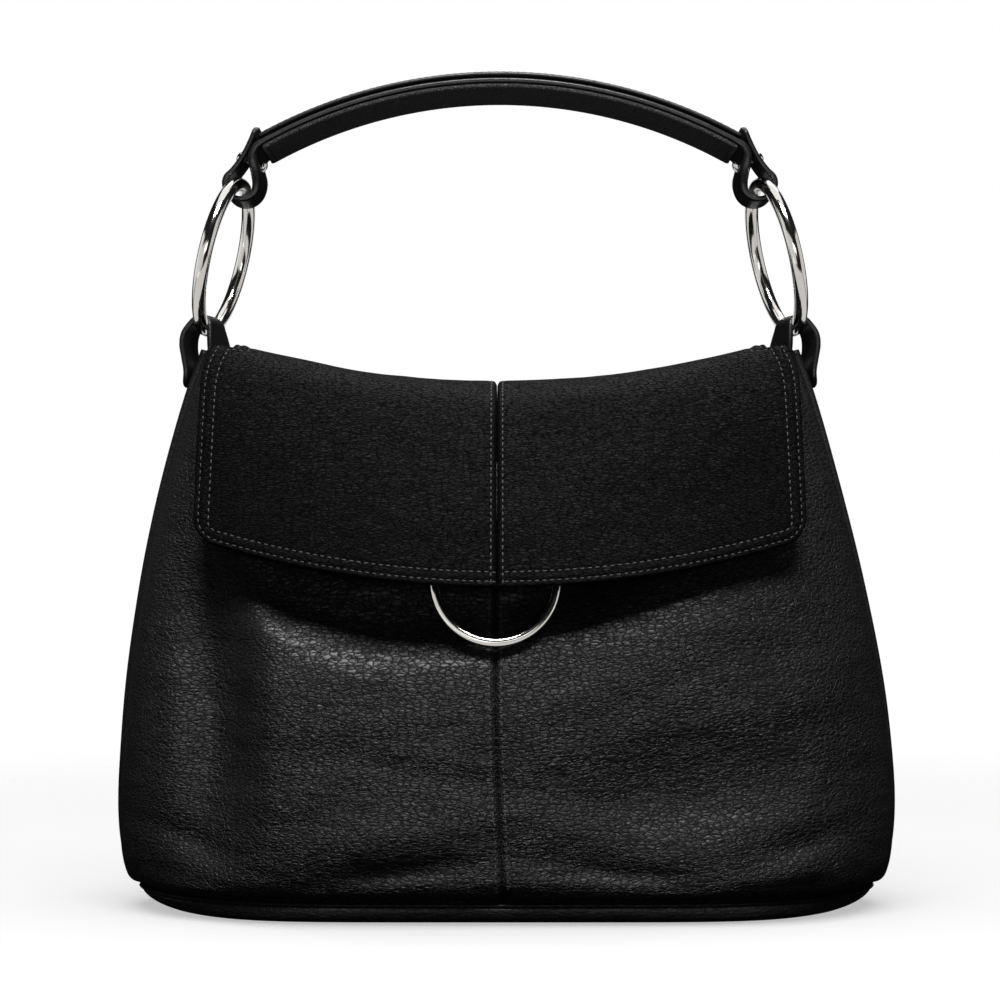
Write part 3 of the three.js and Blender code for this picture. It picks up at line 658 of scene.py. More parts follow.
def front_detail(turn, z):
    """How far the leather stands off the plain form, from wrinkles, seam grooves and the tuck at the base,
    and where it keeps its grain."""
    form = front_form(turn, z)
    x = form[..., 0] - seam_x(z)
    off_seam = np.linalg.norm(form - front_form(np.where(turn < 0, -1.0, 1.0), z), axis=-1)
    flat = smoothstep(off_seam, *FRONT_PULLED)
    pucker = PUCKER * noise(z, 0 * z, PUCKER_PITCH, 1, PUCKER_SEED) * bell(x, 0, PUCKER_WIDTH)
    seams = relief(x, CENTRE_GROOVE) + pucker + relief(off_seam, SIDE_GROOVE)
    return crumple(x, z, WRINKLES, FRONT_SEED) * flat + seams + relief(z, TUCK), flat


def front_face(turn, z):
    """The finished front: the form moved along its normal by the detail."""
    return front_form(turn, z) + normal_of(front_form, turn, z) * front_detail(turn, z)[0][..., None]


def front_panel(name, side, node):
    """One half of the front as a wall, with its columns crowded at its seams."""
    share, level = np.meshgrid(crowded(FRONT_COLUMNS), np.linspace(0, 1, FRONT_LEVELS) ** LEVEL_POWER)
    seam_z = mix(BODY_FOOT, MOUTH_MIDDLE, level)
    turn = mix(front_turn(seam_x(seam_z) + side * CENTRE_SLIT, seam_z), side, share)
    z = mix(BODY_FOOT, mouth_at(turn), level)
    outer = front_face(turn, z)
    inner = outer - WALL * normal_of(front_form, turn, z)
    piece = wall(name, outer, inner, front_detail(turn, z)[1])
    return dress(piece, BODY_LEATHER, "body_leather", node)


for side, word in SIDES:
    front_panel(f"front_{word}", side, f"front_panel_{word}")

# %% [markdown]
# ## Back
# The back is one piece. It comes round the widest line of the body to the side seams in front, so that its
# folded edge makes the welt that shows along the outline. It hangs almost smooth.

# %% Back
BACK_WRAP = 1.12                  # the back's parameter at the seams: 1 is the widest line
SAGS = ((1.1, 75, 38, 0.0), (0.5, 38, 20, 0.0))   # rise, length, height, slant
SAG_SEED, BACK_SEED = 11, 13
WELT = ((-1.5, 0, 0.9), (0.8, 2.4, 1.3))   # rise, distance from the side seam, width
BACK_PULLED = 8, 24               # the hide is pulled flat from the side seam to these distances
BACK_COLUMNS, BACK_LEVELS, BACK_CROWDING = 190, 150, 0.7


def back_form(turn, z):
    """The back from turn -1 to 1 and, past that, the strips that come round to the side seams."""
    half, front, back, flatness, roundness = rows_at(BODY_ROWS, z)
    over = np.clip(np.abs(turn) - 1, 0, None) / (BACK_WRAP - 1)
    strip = 1 - (1 - seam_edge(z, front, flatness, roundness)) * over ** 2
    plain = np.abs(np.sin(np.clip(turn, -1, 1) * np.pi / 2))
    share = np.where(over > 0, strip, plain)
    reach = lens(share, np.where(over > 0, -front, back), flatness, roundness)
    return np.stack([half * share * np.sign(turn) + lean_at(z), reach, z + 0 * share], -1)


def back_detail(turn, z):
    """Slow sags, wrinkles, the welt at each side seam and the tuck at the base, and where the grain stays."""
    form = back_form(turn, z)
    x = form[..., 0]
    seam = back_form(np.where(turn < 0, -BACK_WRAP, BACK_WRAP), z)
    off_seam = np.linalg.norm(form - seam, axis=-1)
    flat = smoothstep(off_seam, *BACK_PULLED)
    soft = crumple(x, z, SAGS, SAG_SEED) + crumple(x, z, WRINKLES, BACK_SEED)
    return soft * flat + relief(off_seam, WELT) + relief(z, TUCK), flat


turn, level = np.meshgrid(mix(-BACK_WRAP, BACK_WRAP, crowded(BACK_COLUMNS, BACK_CROWDING)),
                          np.linspace(0, 1, BACK_LEVELS) ** LEVEL_POWER)
z = mix(BODY_FOOT, mouth_at(turn), level)
outwards = -normal_of(back_form, turn, z)
stand_off, back_grain = back_detail(turn, z)
back_outer = back_form(turn, z) + outwards * stand_off[..., None]
back = wall("back", back_outer, back_outer - WALL * outwards, back_grain)
dress(back, BODY_LEATHER, "body_leather", "back_panel")

# %% [markdown]
# ## Base
# The base is a flat panel whose edge is turned up and stitched, so that a low strip with a bead along its
# top runs round the bag, and the panels bulge over it. One profile is carried round the lens of the lowest
# level, whose ends grow squarer towards the table.

# %% Base
BASE_ROWS = np.array([
    # z, half width, front depth, back depth, flatness
    (0.0, 138.5, 44.5, 46.5, 6.5),
    (1.2, 146.5, 48.0, 49.8, 5.6),
    (4.0, 153.0, 49.8, 51.5, 4.8),
    (8.8, 157.6, 50.2, 52.0, 4.2),
])
BASE_PROFILE = (
    # z, distance outwards from the row at that height
    (0.0, -9.0), (0.0, -1.4), (0.5, -0.2), (1.4, 0.1), (3.6, 0.3), (5.8, 0.3), (6.6, 0.1), (6.9, -0.3),
    (7.2, 0.2), (7.8, 0.6), (8.4, 0.4), (8.7, -0.5), (8.1, -1.5), (6.2, -2.0), (3.2, -2.2), (2.0, -6.0),
)
BASE_ROUNDNESS = BODY_ROWS[0, 5]
BASE_STEPS = 70                   # points of the profile
BASE_GRAIN = 0.25                 # the strip is pulled tight, so that little of the grain is left


def base_loop(z, out, count=150):
    """Lens-shaped loop at each height, moved outwards: the front from left to right, then the back."""
    half, front, back, flatness = rows_at(BASE_ROWS, z)
    s = np.sin(np.linspace(-1, 1, count, endpoint=False) * np.pi / 2)
    run, depth = np.concatenate([s, -s]), np.concatenate([-np.ones(count), np.ones(count)])
    reach = np.where(depth < 0, front[:, None], back[:, None]) + out[:, None]
    x = (half + out)[:, None] * run
    y = depth * lens(run, reach, flatness[:, None], BASE_ROUNDNESS)
    return np.stack([x, y, z[:, None] + 0 * x], -1)


profile = smooth_curve(BASE_PROFILE, BASE_STEPS)
base_skin = base_loop(np.clip(profile[:, 0], 0, None), profile[:, 1])
base = tube("base_tray", base_skin, np.full(base_skin.size // 3, BASE_GRAIN))
dress(base, BODY_LEATHER, "body_leather", "base")

# %% [markdown]
# ## Flap
# The flap starts low on the back, goes over the crest between the ring tabs and hangs in front, where it
# widens to two ears. It is two halves of doubled leather with a seam in the middle, a stitched border and
# round corners. Its rows say how far it has come down from the crest and how deep it lies there.
# The border distance is that of a rectangle with round corners, and it shapes the rim, the ridge between
# the stitch rows and the grooves under them.

# %% Flap form
FLAP_ROWS = (
    # depth in the middle, depth at the sides, drop below the crest
    (40, 26, 46), (36, 22, 25), (25, 18, 9), (0, 0, 0), (-13.5, -12.5, 2.8), (-24, -19, 9.5),
    (-35, -27, 26), (-52, -37, 57), (-67, -46, 87.4),
)
FLAP_THICK, FLAP_CORNER = 2.6, 10
FLAP_HALF, FLAP_EAR, FLAP_NECK = 126, 122, 114   # half widths at the hem, at the ears and between the tabs
EAR_DEPTHS, HEM_DEPTHS = (11.5, 15.5), (14, 34)   # in front of the crest it widens to the ears and the hem
FLAP_BOW = 123.5                  # the crest and the hem rise in full at this distance from the middle
FLAP_SEAM = -1.3 / FLAP_HALF      # the middle seam, as a share of the half width
CREST_Z, CREST_RISE = 224.6, 18.6
SEAT_DROP, SEAT_GAP = 12, 0.8     # below this drop the flap's back lies on the back panel, with a gap
flap_line = smooth_curve(FLAP_ROWS, 600)
FLAP_LENGTH = run_of(flap_line)[-1]


def flap_row(v):
    """Depths and drop at a share v of the way from the back hem to the front hem."""
    spots = np.linspace(0, 1, len(flap_line))
    return [np.interp(v, spots, column) for column in flap_line.T]


def flap_width(v):
    """Half width between the ring tabs, at the ears and below, and what the round corners leave of it."""
    depth = -flap_row(v)[0]
    full = mix(FLAP_NECK, FLAP_EAR, smoothstep(depth, *EAR_DEPTHS))
    full = full + (FLAP_HALF - FLAP_EAR) * smoothstep(depth, *HEM_DEPTHS)
    into = np.clip(FLAP_CORNER - (1 - v) * FLAP_LENGTH, 0, FLAP_CORNER)
    return full, full - FLAP_CORNER + np.sqrt(FLAP_CORNER ** 2 - into ** 2)


def flap_form(turn, v):
    """The flap's outer face, from its left edge (-1) to its right edge (1) and from the back to the hem.
    The crest and the depths bow with the square of the distance from the middle."""
    middle, side, drop = flap_row(v)
    x = flap_width(v)[1] * turn
    bow = (x / FLAP_BOW) ** 2
    z = CREST_Z + CREST_RISE * bow - drop
    half, _, back, flatness, roundness = rows_at(BODY_ROWS, z)
    seat = lens((x + LEAN - lean_at(z)) / half, back, flatness, roundness) + SEAT_GAP + FLAP_THICK
    free = mix(middle, side, bow)
    y = np.where((free > 0) & (drop > SEAT_DROP), np.maximum(free, seat), free)
    return np.stack([x + LEAN, y, z], -1)


def border_distance(turn, v):
    """Distance in from the flap's edge, taken on the flat leather."""
    full, half = flap_width(v)
    side, hem = full - np.abs(half * turn), (1 - v) * FLAP_LENGTH
    corner = FLAP_CORNER - np.hypot(FLAP_CORNER - side, FLAP_CORNER - hem)
    inside = (side < FLAP_CORNER) & (hem < FLAP_CORNER)
    return np.minimum(np.where(inside, corner, np.minimum(side, hem)), v * FLAP_LENGTH)


print("flap length over the crest in mm:", round(FLAP_LENGTH, 1))

# %% [markdown]
# ## Flap leather
# The stitch rows draw the leather down, and the doubled border between them stands up. The seam in the
# middle is a narrow valley. Slow waves keep the flap from looking like sheet metal.

# %% Flap halves
HEM_ROW, BORDER_ROW, CENTRE_ROW = 2.3, 6.6, 2.4   # stitch rows: distance from the edge or the middle seam
FLAP_WAVES = ((0.55, 48, 34, 0.0), (0.2, 20, 9, 0.0), (0.07, 7, 3, 0.0))   # rise, length, height, slant
WAVE_SEED, BORDER_SEED = 21, 24
WAVE_BORDER = 2, 30               # the waves grow between these distances from the edge
BORDER_RELIEF = ((-0.22, HEM_ROW, 0.7), (-0.3, BORDER_ROW, 0.8), (0.28, 4.4, 1.4))   # rise, place, width
VALLEY = ((-1.0, 0, 0.9), (-0.35, 0, 4), (-0.12, CENTRE_ROW, 0.6))   # rise, distance from the seam, width
BEAD_PITCH, BEADS = 3.0, ((0.16, 4.2, 1.5),)   # the border swells between the stitches
BORDER_PUCKER, BORDER_PUCKER_SIZE = ((0.12, 5, 4),), 5
FLAP_COLUMNS, FLAP_LEVELS, FLAP_CROWDING = 110, 190, 0.93


def flap_detail(turn, v):
    """Relief of the flap: waves, the border's ridge and grooves, and the valley of the middle seam."""
    full, half = flap_width(v)
    border = border_distance(turn, v)
    x, run = half * turn, v * FLAP_LENGTH
    along = np.where(full - np.abs(x) < (1 - v) * FLAP_LENGTH, run, x)
    beads = np.cos(2 * np.pi * along / BEAD_PITCH) * relief(border, BEADS)
    pucker = noise(x + run, x - run, BORDER_PUCKER_SIZE, BORDER_PUCKER_SIZE, BORDER_SEED)
    edge = pucker * relief(border, BORDER_PUCKER) + beads + relief(border, BORDER_RELIEF)
    seam = relief(np.abs(half * (turn - FLAP_SEAM)), VALLEY)
    return crumple(x, run, FLAP_WAVES, WAVE_SEED) * smoothstep(border, *WAVE_BORDER) + edge + seam


def flap_face(turn, v):
    """The finished outer face of the flap."""
    return flap_form(turn, v) - normal_of(flap_form, turn, v) * flap_detail(turn, v)[..., None]


def flap_half(name, side, node):
    """Half of the flap as a sheet whose edge is round: its thickness is that of a circle near the edge."""
    first = FLAP_SEAM + side * CENTRE_SLIT / FLAP_HALF
    turn, v = np.meshgrid(mix(first, side, crowded(FLAP_COLUMNS, FLAP_CROWDING)),
                          crowded(FLAP_LEVELS, FLAP_CROWDING))
    off_seam = flap_width(v)[1] * np.abs(turn - first)
    edge = np.minimum(border_distance(turn, v), off_seam)
    near = np.clip(edge / (FLAP_THICK / 2), 0, 1)
    swell = FLAP_THICK / 2 * np.sqrt(1 - (1 - near) ** 2)
    face, inwards = flap_face(turn, v), normal_of(flap_form, turn, v)
    outer = face + inwards * (FLAP_THICK / 2 - swell)[..., None]
    inner = face + inwards * (FLAP_THICK / 2 + swell)[..., None]
    piece = wall(name, outer, inner, np.ones_like(turn), welded=True)
    return dress(piece, FLAP_LEATHER, "flap_leather", node)


flap = [flap_half(f"flap_half_{word}", side, f"flap_{word}") for side, word in SIDES]

# %% [markdown]
# ## Straps
# The handle's layers and the ring tabs are flat straps with round, painted edges. Each is one outline, a
# strip with half-round ends, carried along a path in the plane of the handle. The width may change along
# the path, and a free tip rounds off like an ellipse.

# %% Strap outline
TIP_BLUNT = 1.06                  # a free tip is cut off before its ellipse closes
END_THICK = 0.35                  # share of its thickness that a rolled end keeps


def strap_loops(path, width, thick, crown=0.0, flat_steps=14, round_steps=9):
    """The strap's outline at each point of its path: across is Y, and up is the path's normal.
    The outline is flat * (width/2 - thick/2) plus a half circle of radius thick/2 at each edge."""
    ahead = unit(np.gradient(path, axis=0))
    up = np.stack([-ahead[:, 2], 0 * ahead[:, 1], ahead[:, 0]], -1)
    run = np.linspace(1, -1, flat_steps, endpoint=False)
    turn = np.radians(np.linspace(90, 270, round_steps, endpoint=False))
    flat = np.concatenate([run, -np.ones(round_steps), -run, np.ones(round_steps)])
    edge = np.concatenate([0 * run, np.cos(turn), 0 * run, -np.cos(turn)])
    lift = np.concatenate([1 + 0 * run, np.sin(turn), -1 + 0 * run, -np.sin(turn)])
    swell = np.concatenate([1 - run ** 2, 0 * turn, 0 * run, 0 * turn]) * crown
    thick = np.broadcast_to(thick, len(path))[:, None]
    body = np.clip(np.broadcast_to(width, len(path))[:, None] / 2 - thick / 2, 0.01, None)
    y = body * flat + edge * thick / 2
    rise = lift * thick / 2 + swell
    loops = path[:, None, :] + up[:, None, :] * rise[..., None]
    loops[..., 1] += y
    return loops


def tip_share(distance, length):
    """Share of its width that a strap keeps at a distance from its free tip: part of an ellipse."""
    into = np.clip(length - distance, 0, None) / (TIP_BLUNT * length)
    return np.sqrt(1 - into ** 2)


def end_roll(distance, thick):
    """Share of its thickness that a strap keeps beside a cut end, which grows as a quarter circle."""
    near = np.clip(distance / thick, 0, 1)
    return mix(END_THICK, 1, np.sqrt(1 - (1 - near) ** 2))


print("outline points of a strap:", strap_loops(np.eye(3), 20, 2).shape[1])

# %% [markdown]
# ## Handle
# The handle is an arch of three layers: a cover on top, a strap in the middle whose ends turn down in a
# neck, loop round the big rings and come back up outside, and a lining strip below. Real makers glue and sew
# them flat, and bend them together. Here each layer follows an arc of its own radius. In the neck the strap
# is doubled, so it is almost twice as thick there.

# %% Handle
ARCH_CENTRE_Z, ARCH_TOP = 143.4, 212.0
HANDLE_WIDTH, LOOP_WIDTH, LAYER_GAP = 34.0, 20.0, 0.3
COVER_THICK, STRAP_THICK, LINING_THICK = 2.2, 2.3, 1.9
COVER_ANGLE, STRAP_ANGLE, LINING_ANGLE = 29.2, 27.5, 29.4
COVER_CROWN = 0.5                 # the cover swells this much in its middle
COVER_RADIUS = ARCH_TOP - COVER_THICK / 2
STRAP_RADIUS = ARCH_TOP - COVER_THICK - LAYER_GAP - STRAP_THICK / 2
LINING_RADIUS = STRAP_RADIUS - STRAP_THICK / 2 - LAYER_GAP - LINING_THICK / 2
LOOP_OUT, LOOP_Z, LOOP_BEND = 111.2, 309.2, 7.0
# Distance from the leaning middle, and height
NECK = np.array([(100.8, 325.8), (104.0, 323.4), (105.5, 320.2), (105.2, 316.8), (104.4, 313.4)])
OUTER_LEG = np.array([(117.4, 312.0), (114.8, 314.6), (110.4, 320.6), (106.9, 327.6), (104.4, 334.2)])
STRAP_TIP = 4.0                   # length of the strap's rounded tips
NARROWING = 46, 60                # the strap grows to its full width between these distances from its tips
DOUBLED = ((0.9, 55, 10),)        # added thickness in the neck: share, distance from the tip, width


def arch(radius, half_angle, count):
    """Points of an arc over the leaning middle, from the left to the right."""
    angle = np.radians(np.linspace(-half_angle, half_angle, count))
    return np.stack([LEAN + radius * np.sin(angle), 0 * angle, ARCH_CENTRE_Z + radius * np.cos(angle)], -1)


def handle_end(side):
    """Neck, half circle round the ring and outer leg on the left (-1) or the right (1)."""
    angle = np.linspace(0, np.pi, 7)
    bottom = np.stack([LOOP_OUT - LOOP_BEND * np.cos(angle), LOOP_Z - LOOP_BEND * np.sin(angle)], -1)
    out, z = np.concatenate([NECK, bottom, OUTER_LEG]).T
    return np.stack([LEAN + side * out, 0 * out, z], -1)


def layer(name, radius, half_angle, thick, crown, material, node):
    """An arc of the handle with rounded ends."""
    path = arch(radius, half_angle, 200)
    run = run_of(path)
    roll = end_roll(np.minimum(run, run[-1] - run), thick)
    loops = strap_loops(path, HANDLE_WIDTH, thick * roll, crown)
    return dress(tube(name, loops), material, "strap_leather", node)


layer("handle_top", COVER_RADIUS, COVER_ANGLE, COVER_THICK, COVER_CROWN, STRAP_LEATHER, "handle_cover")
lining = layer("handle_lining", LINING_RADIUS, LINING_ANGLE, LINING_THICK, 0.0, LINING_LEATHER,
               "handle_underside")
strap_stops = [handle_end(-1)[::-1], arch(STRAP_RADIUS, STRAP_ANGLE, 21), handle_end(1)]
strap_path = smooth_curve(np.concatenate(strap_stops), 420)
strap_run = run_of(strap_path)
from_tip = np.minimum(strap_run, strap_run[-1] - strap_run)
strap_width = mix(LOOP_WIDTH, HANDLE_WIDTH, smoothstep(from_tip, *NARROWING)) * tip_share(from_tip, STRAP_TIP)
strap_thick = STRAP_THICK * end_roll(from_tip, STRAP_THICK) * (1 + relief(from_tip, DOUBLED))
strap = tube("handle_middle", strap_loops(strap_path, strap_width, strap_thick))
dress(strap, STRAP_LEATHER, "strap_leather", "handle_strap")

# %% [markdown]
# ## Rings
# The big rings are closed rings of round nickel wire. They lean in at the top, where the handle pulls them,
# and each is turned a little, so that both their near and far sides show. The front ring hangs from a hidden
# loop under the flap and rests on the front panel. It is its own body, because it can swing forward.

# %% Rings
RING_OUT, RING_Z, RING_RADIUS, RING_WIRE = 119.4, 278.2, 32.2, 3.0
RING_LEAN, RING_YAW = math.radians(14), math.radians(5)
FRONT_RING_RADIUS, FRONT_RING_WIRE, FRONT_RING_LEAN = 24.7, 2.0, math.radians(13.31)


def ring_loops(centre, first, second, radius, wire, steps=160, sides=28):
    """Ring of wire in the plane of two unit vectors: centre + radius r + wire (r cos + n sin)."""
    around = np.linspace(0, 2 * np.pi, steps, endpoint=False)[:, None, None]
    about = np.linspace(0, 2 * np.pi, sides, endpoint=False)[None, :, None]
    radial = np.cos(around) * first + np.sin(around) * second
    axis = np.cross(first, second)
    return centre + radial * (radius + wire * np.cos(about)) + axis * wire * np.sin(about)


def turned(vector, about_z, about_y):
    """A vector turned about Z and then about Y."""
    c, s = math.cos(about_z), math.sin(about_z)
    x, y, z = vector[0] * c - vector[1] * s, vector[0] * s + vector[1] * c, vector[2]
    c, s = math.cos(about_y), math.sin(about_y)
    return np.array([x * c + z * s, y, z * c - x * s])


for side, word in SIDES:
    centre = np.array([LEAN + side * RING_OUT, 0, RING_Z])
    plane = [turned(v, side * RING_YAW, -side * RING_LEAN) for v in ((0, 1, 0), (0, 0, 1))]
    ring = ring_skin(f"big_ring_{word}", ring_loops(centre, *plane, RING_RADIUS, RING_WIRE))
    dress(ring, NICKEL, "nickel", f"ring_{word}")

hinge = np.array(frame["joints"][0]["pos_m"]) / MM
down = np.array([0, -math.sin(FRONT_RING_LEAN), -math.cos(FRONT_RING_LEAN)])
across = np.array([1.0, 0, 0])
front_loops = ring_loops(hinge + down * FRONT_RING_RADIUS, down, across, FRONT_RING_RADIUS, FRONT_RING_WIRE)
dress(ring_skin("pull_ring", front_loops), NICKEL, "nickel", "front_ring", body="front_ring")
frame["nodes"]["front_ring_tab"].material_slots[0].material = STRAP_LEATHER

# %% [markdown]
# ## Ring tabs
# A tab is a short strap that comes up from inside the bag's corner, goes close over the ring's wire and
# down outside, where its round tip is sewn to the body. It is narrower over the wire, and it is turned a
# little about the upright, as its ring is.

# %% Ring tabs
TAB_OUT, TAB_Z, TAB_BEND, TAB_THICK, TAB_WIDTH = 127.2, 247.0, 4.9, 2.4, 20.0
TAB_WAIST = ((0.35, 18, 11),)     # share of the width that is lost, distance from the inner end, width
TAB_TIP = 8.0                     # length of the rounded tip
TAB_YAW = math.radians(20), math.radians(6)   # at the inner end and at the outer tip
TAB_OVER = math.radians(135)      # the bend over the wire ends here, and the outer leg swings wider
# Distance from the leaning middle, and height
TAB_INNER = np.array([(120.4, 236.6)])
TAB_OUTER = np.array([(134.3, 245.2), (135.0, 240.2), (134.1, 234), (133.4, 227.8), (135.2, 221.6)])


def tab(side, name, node):
    """Inner leg, part of a circle over the wire and outer leg, turned less and less about its own upright."""
    angle = np.linspace(0, TAB_OVER, 8)
    over = np.stack([TAB_OUT - TAB_BEND * np.cos(angle), TAB_Z + TAB_BEND * np.sin(angle)], -1)
    outline = np.concatenate([TAB_INNER, over, TAB_OUTER]) - (TAB_OUT, 0)
    path = smooth_curve(np.insert(outline, 1, 0, axis=1), 110)
    run = run_of(path)
    left = run[-1] - run
    thick = TAB_THICK * end_roll(np.minimum(run, left), TAB_THICK)
    width = TAB_WIDTH * (1 - relief(run, TAB_WAIST)) * tip_share(left, TAB_TIP)
    loops = strap_loops(path, width, thick)
    yaw = mix(*TAB_YAW, run / run[-1])[:, None]
    c, s = side * np.cos(yaw), np.sin(yaw)
    x = loops[..., 0] * c - loops[..., 1] * s
    y = loops[..., 0] * s + loops[..., 1] * c
    placed = np.stack([x + LEAN + side * TAB_OUT, y, loops[..., 2]], -1)
    return dress(tube(name, placed), STRAP_LEATHER, "strap_leather", node)


tabs = [tab(side, f"ring_tab_{word}", f"tab_{word}") for side, word in SIDES]

# %% [markdown]
# ## Rivets
# A rivet closes each end loop of the handle: a shank through both legs with a domed head on either side.
# It is a profile turned about its axis, which points outwards and a little up.

# %% Rivets
RIVET_OUT, RIVET_Z, RIVET_TILT = 104.8, 318.8, math.radians(20)
RIVET_SHANK, RIVET_HEAD, RIVET_DOME = 1.0, 2.9, 2.3
RIVET_INNER, RIVET_OUTER = -2.0, 7.6   # where the heads sit along the axis
RIVET_POLE = 0.02                 # radius of the small flat at the top of a dome


def rivet_profile():
    """Radius and place along the axis: a dome, the shank and the other dome."""
    angle = np.linspace(0, np.pi / 2, 10)
    dome = np.stack([RIVET_HEAD * np.sin(angle), RIVET_DOME * np.cos(angle)], -1)
    dome[0, 0] = RIVET_POLE
    low = dome * (1, -1) + (0, RIVET_INNER)
    high = dome[::-1] + (0, RIVET_OUTER)
    shank = np.array([(RIVET_SHANK, RIVET_INNER), (RIVET_SHANK, RIVET_OUTER)])
    return np.concatenate([low, shank, high])


def rivet(side, name, node, sides=32):
    """The profile turned about the axis."""
    axis = np.array([side * math.cos(RIVET_TILT), 0, math.sin(RIVET_TILT)])
    across = np.array([0.0, 1.0, 0.0])
    about = np.linspace(0, 2 * np.pi, sides, endpoint=False)[None, :, None]
    radius, along = rivet_profile().T[:, :, None, None]
    seat = np.array([LEAN + side * RIVET_OUT, 0, RIVET_Z])
    spoke = np.cos(about) * across + np.sin(about) * np.cross(axis, across)
    return dress(tube(name, seat + along * axis + radius * spoke), NICKEL, "nickel", node)


for side, word in SIDES:
    rivet(side, f"loop_rivet_{word}", f"rivet_{word}")

# %% [markdown]
# ## Stitches
# The thread shows as short dashes a few millimetres apart. A painted dash would lie flat, so each stitch is
# a small capsule that lies half sunk in its groove. A row is one line on the leather: its points and normals
# give every stitch its place, its direction and its up, and one array operation lays all the capsules of a
# row.

# %% Stitch rows
STITCH_PITCH, STITCH_LENGTH, STITCH_WIDTH = 3.0, 1.7, 0.6
CAPSULE_ALONG, CAPSULE_RADIUS = np.array([-0.5, -0.36, 0.36, 0.5]), np.array([0.35, 1.0, 1.0, 0.35])
CAPSULE_SIDES = 6


def stitch_points(line, normals):
    """Capsules along a line: rings of points for each stitch, joined by quads, and a cap at each end."""
    run = run_of(line)
    count = max(int(run[-1] // STITCH_PITCH), 1)
    at = (np.arange(count) + 0.5) * run[-1] / count

    def take(values, places):
        return np.stack([np.interp(places, run, column) for column in values.T], -1)

    middle, up = take(line, at), unit(take(normals, at))
    ahead = unit(take(line, at + STITCH_LENGTH / 2) - take(line, at - STITCH_LENGTH / 2))
    across = unit(np.cross(up, ahead))
    along = CAPSULE_ALONG * STITCH_LENGTH
    radius = CAPSULE_RADIUS * STITCH_WIDTH / 2
    about = np.linspace(0, 2 * np.pi, CAPSULE_SIDES, endpoint=False)
    spoke = (across[:, None, :] * np.cos(about)[:, None] + up[:, None, :] * np.sin(about)[:, None])
    points = (middle[:, None, None, :] + ahead[:, None, None, :] * along[:, None, None]
              + spoke[:, None, :, :] * radius[:, None, None])
    index = np.arange(points.size // 3).reshape(count, len(along), CAPSULE_SIDES)
    around = np.concatenate([index, index[:, :, :1]], 2)
    quads = np.stack([around[:, :-1, :-1], around[:, :-1, 1:], around[:, 1:, 1:], around[:, 1:, :-1]], -1)
    return points.reshape(-1, 3), quads.reshape(-1, 4), np.concatenate([index[:, 0, ::-1], index[:, -1]])


def stitches(name, rows):
    """One piece with all the stitches of some rows, each a pair of line and normals."""
    points, quads, caps, offset = [], [], [], 0
    for line, normals in rows:
        p, q, c = stitch_points(line, normals)
        points.append(p)
        quads.append(q + offset)
        caps.append(c + offset)
        offset += len(p)
    piece = write_mesh(name, np.concatenate(points), [np.concatenate(quads), np.concatenate(caps)])
    return dress(piece, THREAD, None)


def on_surface(face, form, outwards, u, v, sunk=0.0):
    """A row sunk into a leather face, with its normals: points of the face at the parameters u and v."""
    normals = outwards * normal_of(form, u, v)
    return face(u, v) - sunk * normals, normals


print("stitch of", STITCH_LENGTH, "mm every", STITCH_PITCH, "mm")

# %% [markdown]
# ## Rows on the flap and the front
# Two rows follow the flap's border round its corners, and one runs on either side of each middle seam.
# A row at a distance from the edge is a rectangle with smaller round corners on the flat leather, and
# dividing by the flap's width there gives the parameters of the curved one.

# %% Flap and front stitches
EAR_V = 0.42                      # share of the flap's length where the border rows start, at the ears
BORDER_ROWS = ((HEM_ROW, 0.16), (BORDER_ROW, 0.0))   # distance from the edge, and how far the row is sunk
HEM_START = 1.2                   # distance of the hem's first stitch from the middle
SEAM_ROW_START, SEAM_ROW_END = 0.03, 0.8   # as a share of the length, and in millimetres from the hem
BACK_ROWS, BACK_ROW_SPAN = (3, 7), (0.02, 0.98)   # rows along the back hem
FRONT_ROW_HEIGHTS, FRONT_ROW_SUNK = (14, 196), 0.12


def border_row(side, inset):
    """Parameters of a row at a distance from the edge: down the side, round the corner and along the hem."""
    start = (1 - EAR_V) * FLAP_LENGTH
    radius, turn_x = FLAP_CORNER - inset, FLAP_HALF - FLAP_CORNER
    angle = np.linspace(0, np.pi / 2, 30)
    down = np.stack([np.full(200, FLAP_HALF - inset), np.linspace(start, FLAP_CORNER, 200)], -1)
    bend = np.stack([turn_x + radius * np.cos(angle), FLAP_CORNER - radius * np.sin(angle)], -1)
    hem = np.stack([np.linspace(turn_x, HEM_START, 200), np.full(200, inset)], -1)
    x, from_hem = np.concatenate([down, bend[1:-1], hem]).T
    v = 1 - from_hem / FLAP_LENGTH
    limit = flap_width(v)[1]
    return side * np.minimum(x, limit - inset * (from_hem > FLAP_CORNER)) / limit, v


flap_rows, front_rows = [], []
for side, _ in SIDES:
    for inset, sunk in BORDER_ROWS:
        flap_rows.append(on_surface(flap_face, flap_form, -1, *border_row(side, inset), sunk))
    v = np.linspace(SEAM_ROW_START, 1 - SEAM_ROW_END / FLAP_LENGTH, 400)
    turn = FLAP_SEAM + side * CENTRE_ROW / flap_width(v)[1]
    flap_rows.append(on_surface(flap_face, flap_form, -1, turn, v))
    for inset in BACK_ROWS:
        turn = side * np.linspace(*BACK_ROW_SPAN, 200)
        flap_rows.append(on_surface(flap_face, flap_form, -1, turn, np.full(200, inset / FLAP_LENGTH)))
    z = np.linspace(*FRONT_ROW_HEIGHTS, 300)
    turn = front_turn(seam_x(z) + side * CENTRE_ROW, z)
    front_rows.append(on_surface(front_face, front_form, 1, turn, z, FRONT_ROW_SUNK))
stitches("flap_stitches", flap_rows)
stitches("front_stitches", front_rows)

# %% [markdown]
# ## Rows on the handle and the base
# The handle's cover and lining are sewn along both edges, and the row on the lining turns across its ends.
# The base is sewn round in the groove below its bead.

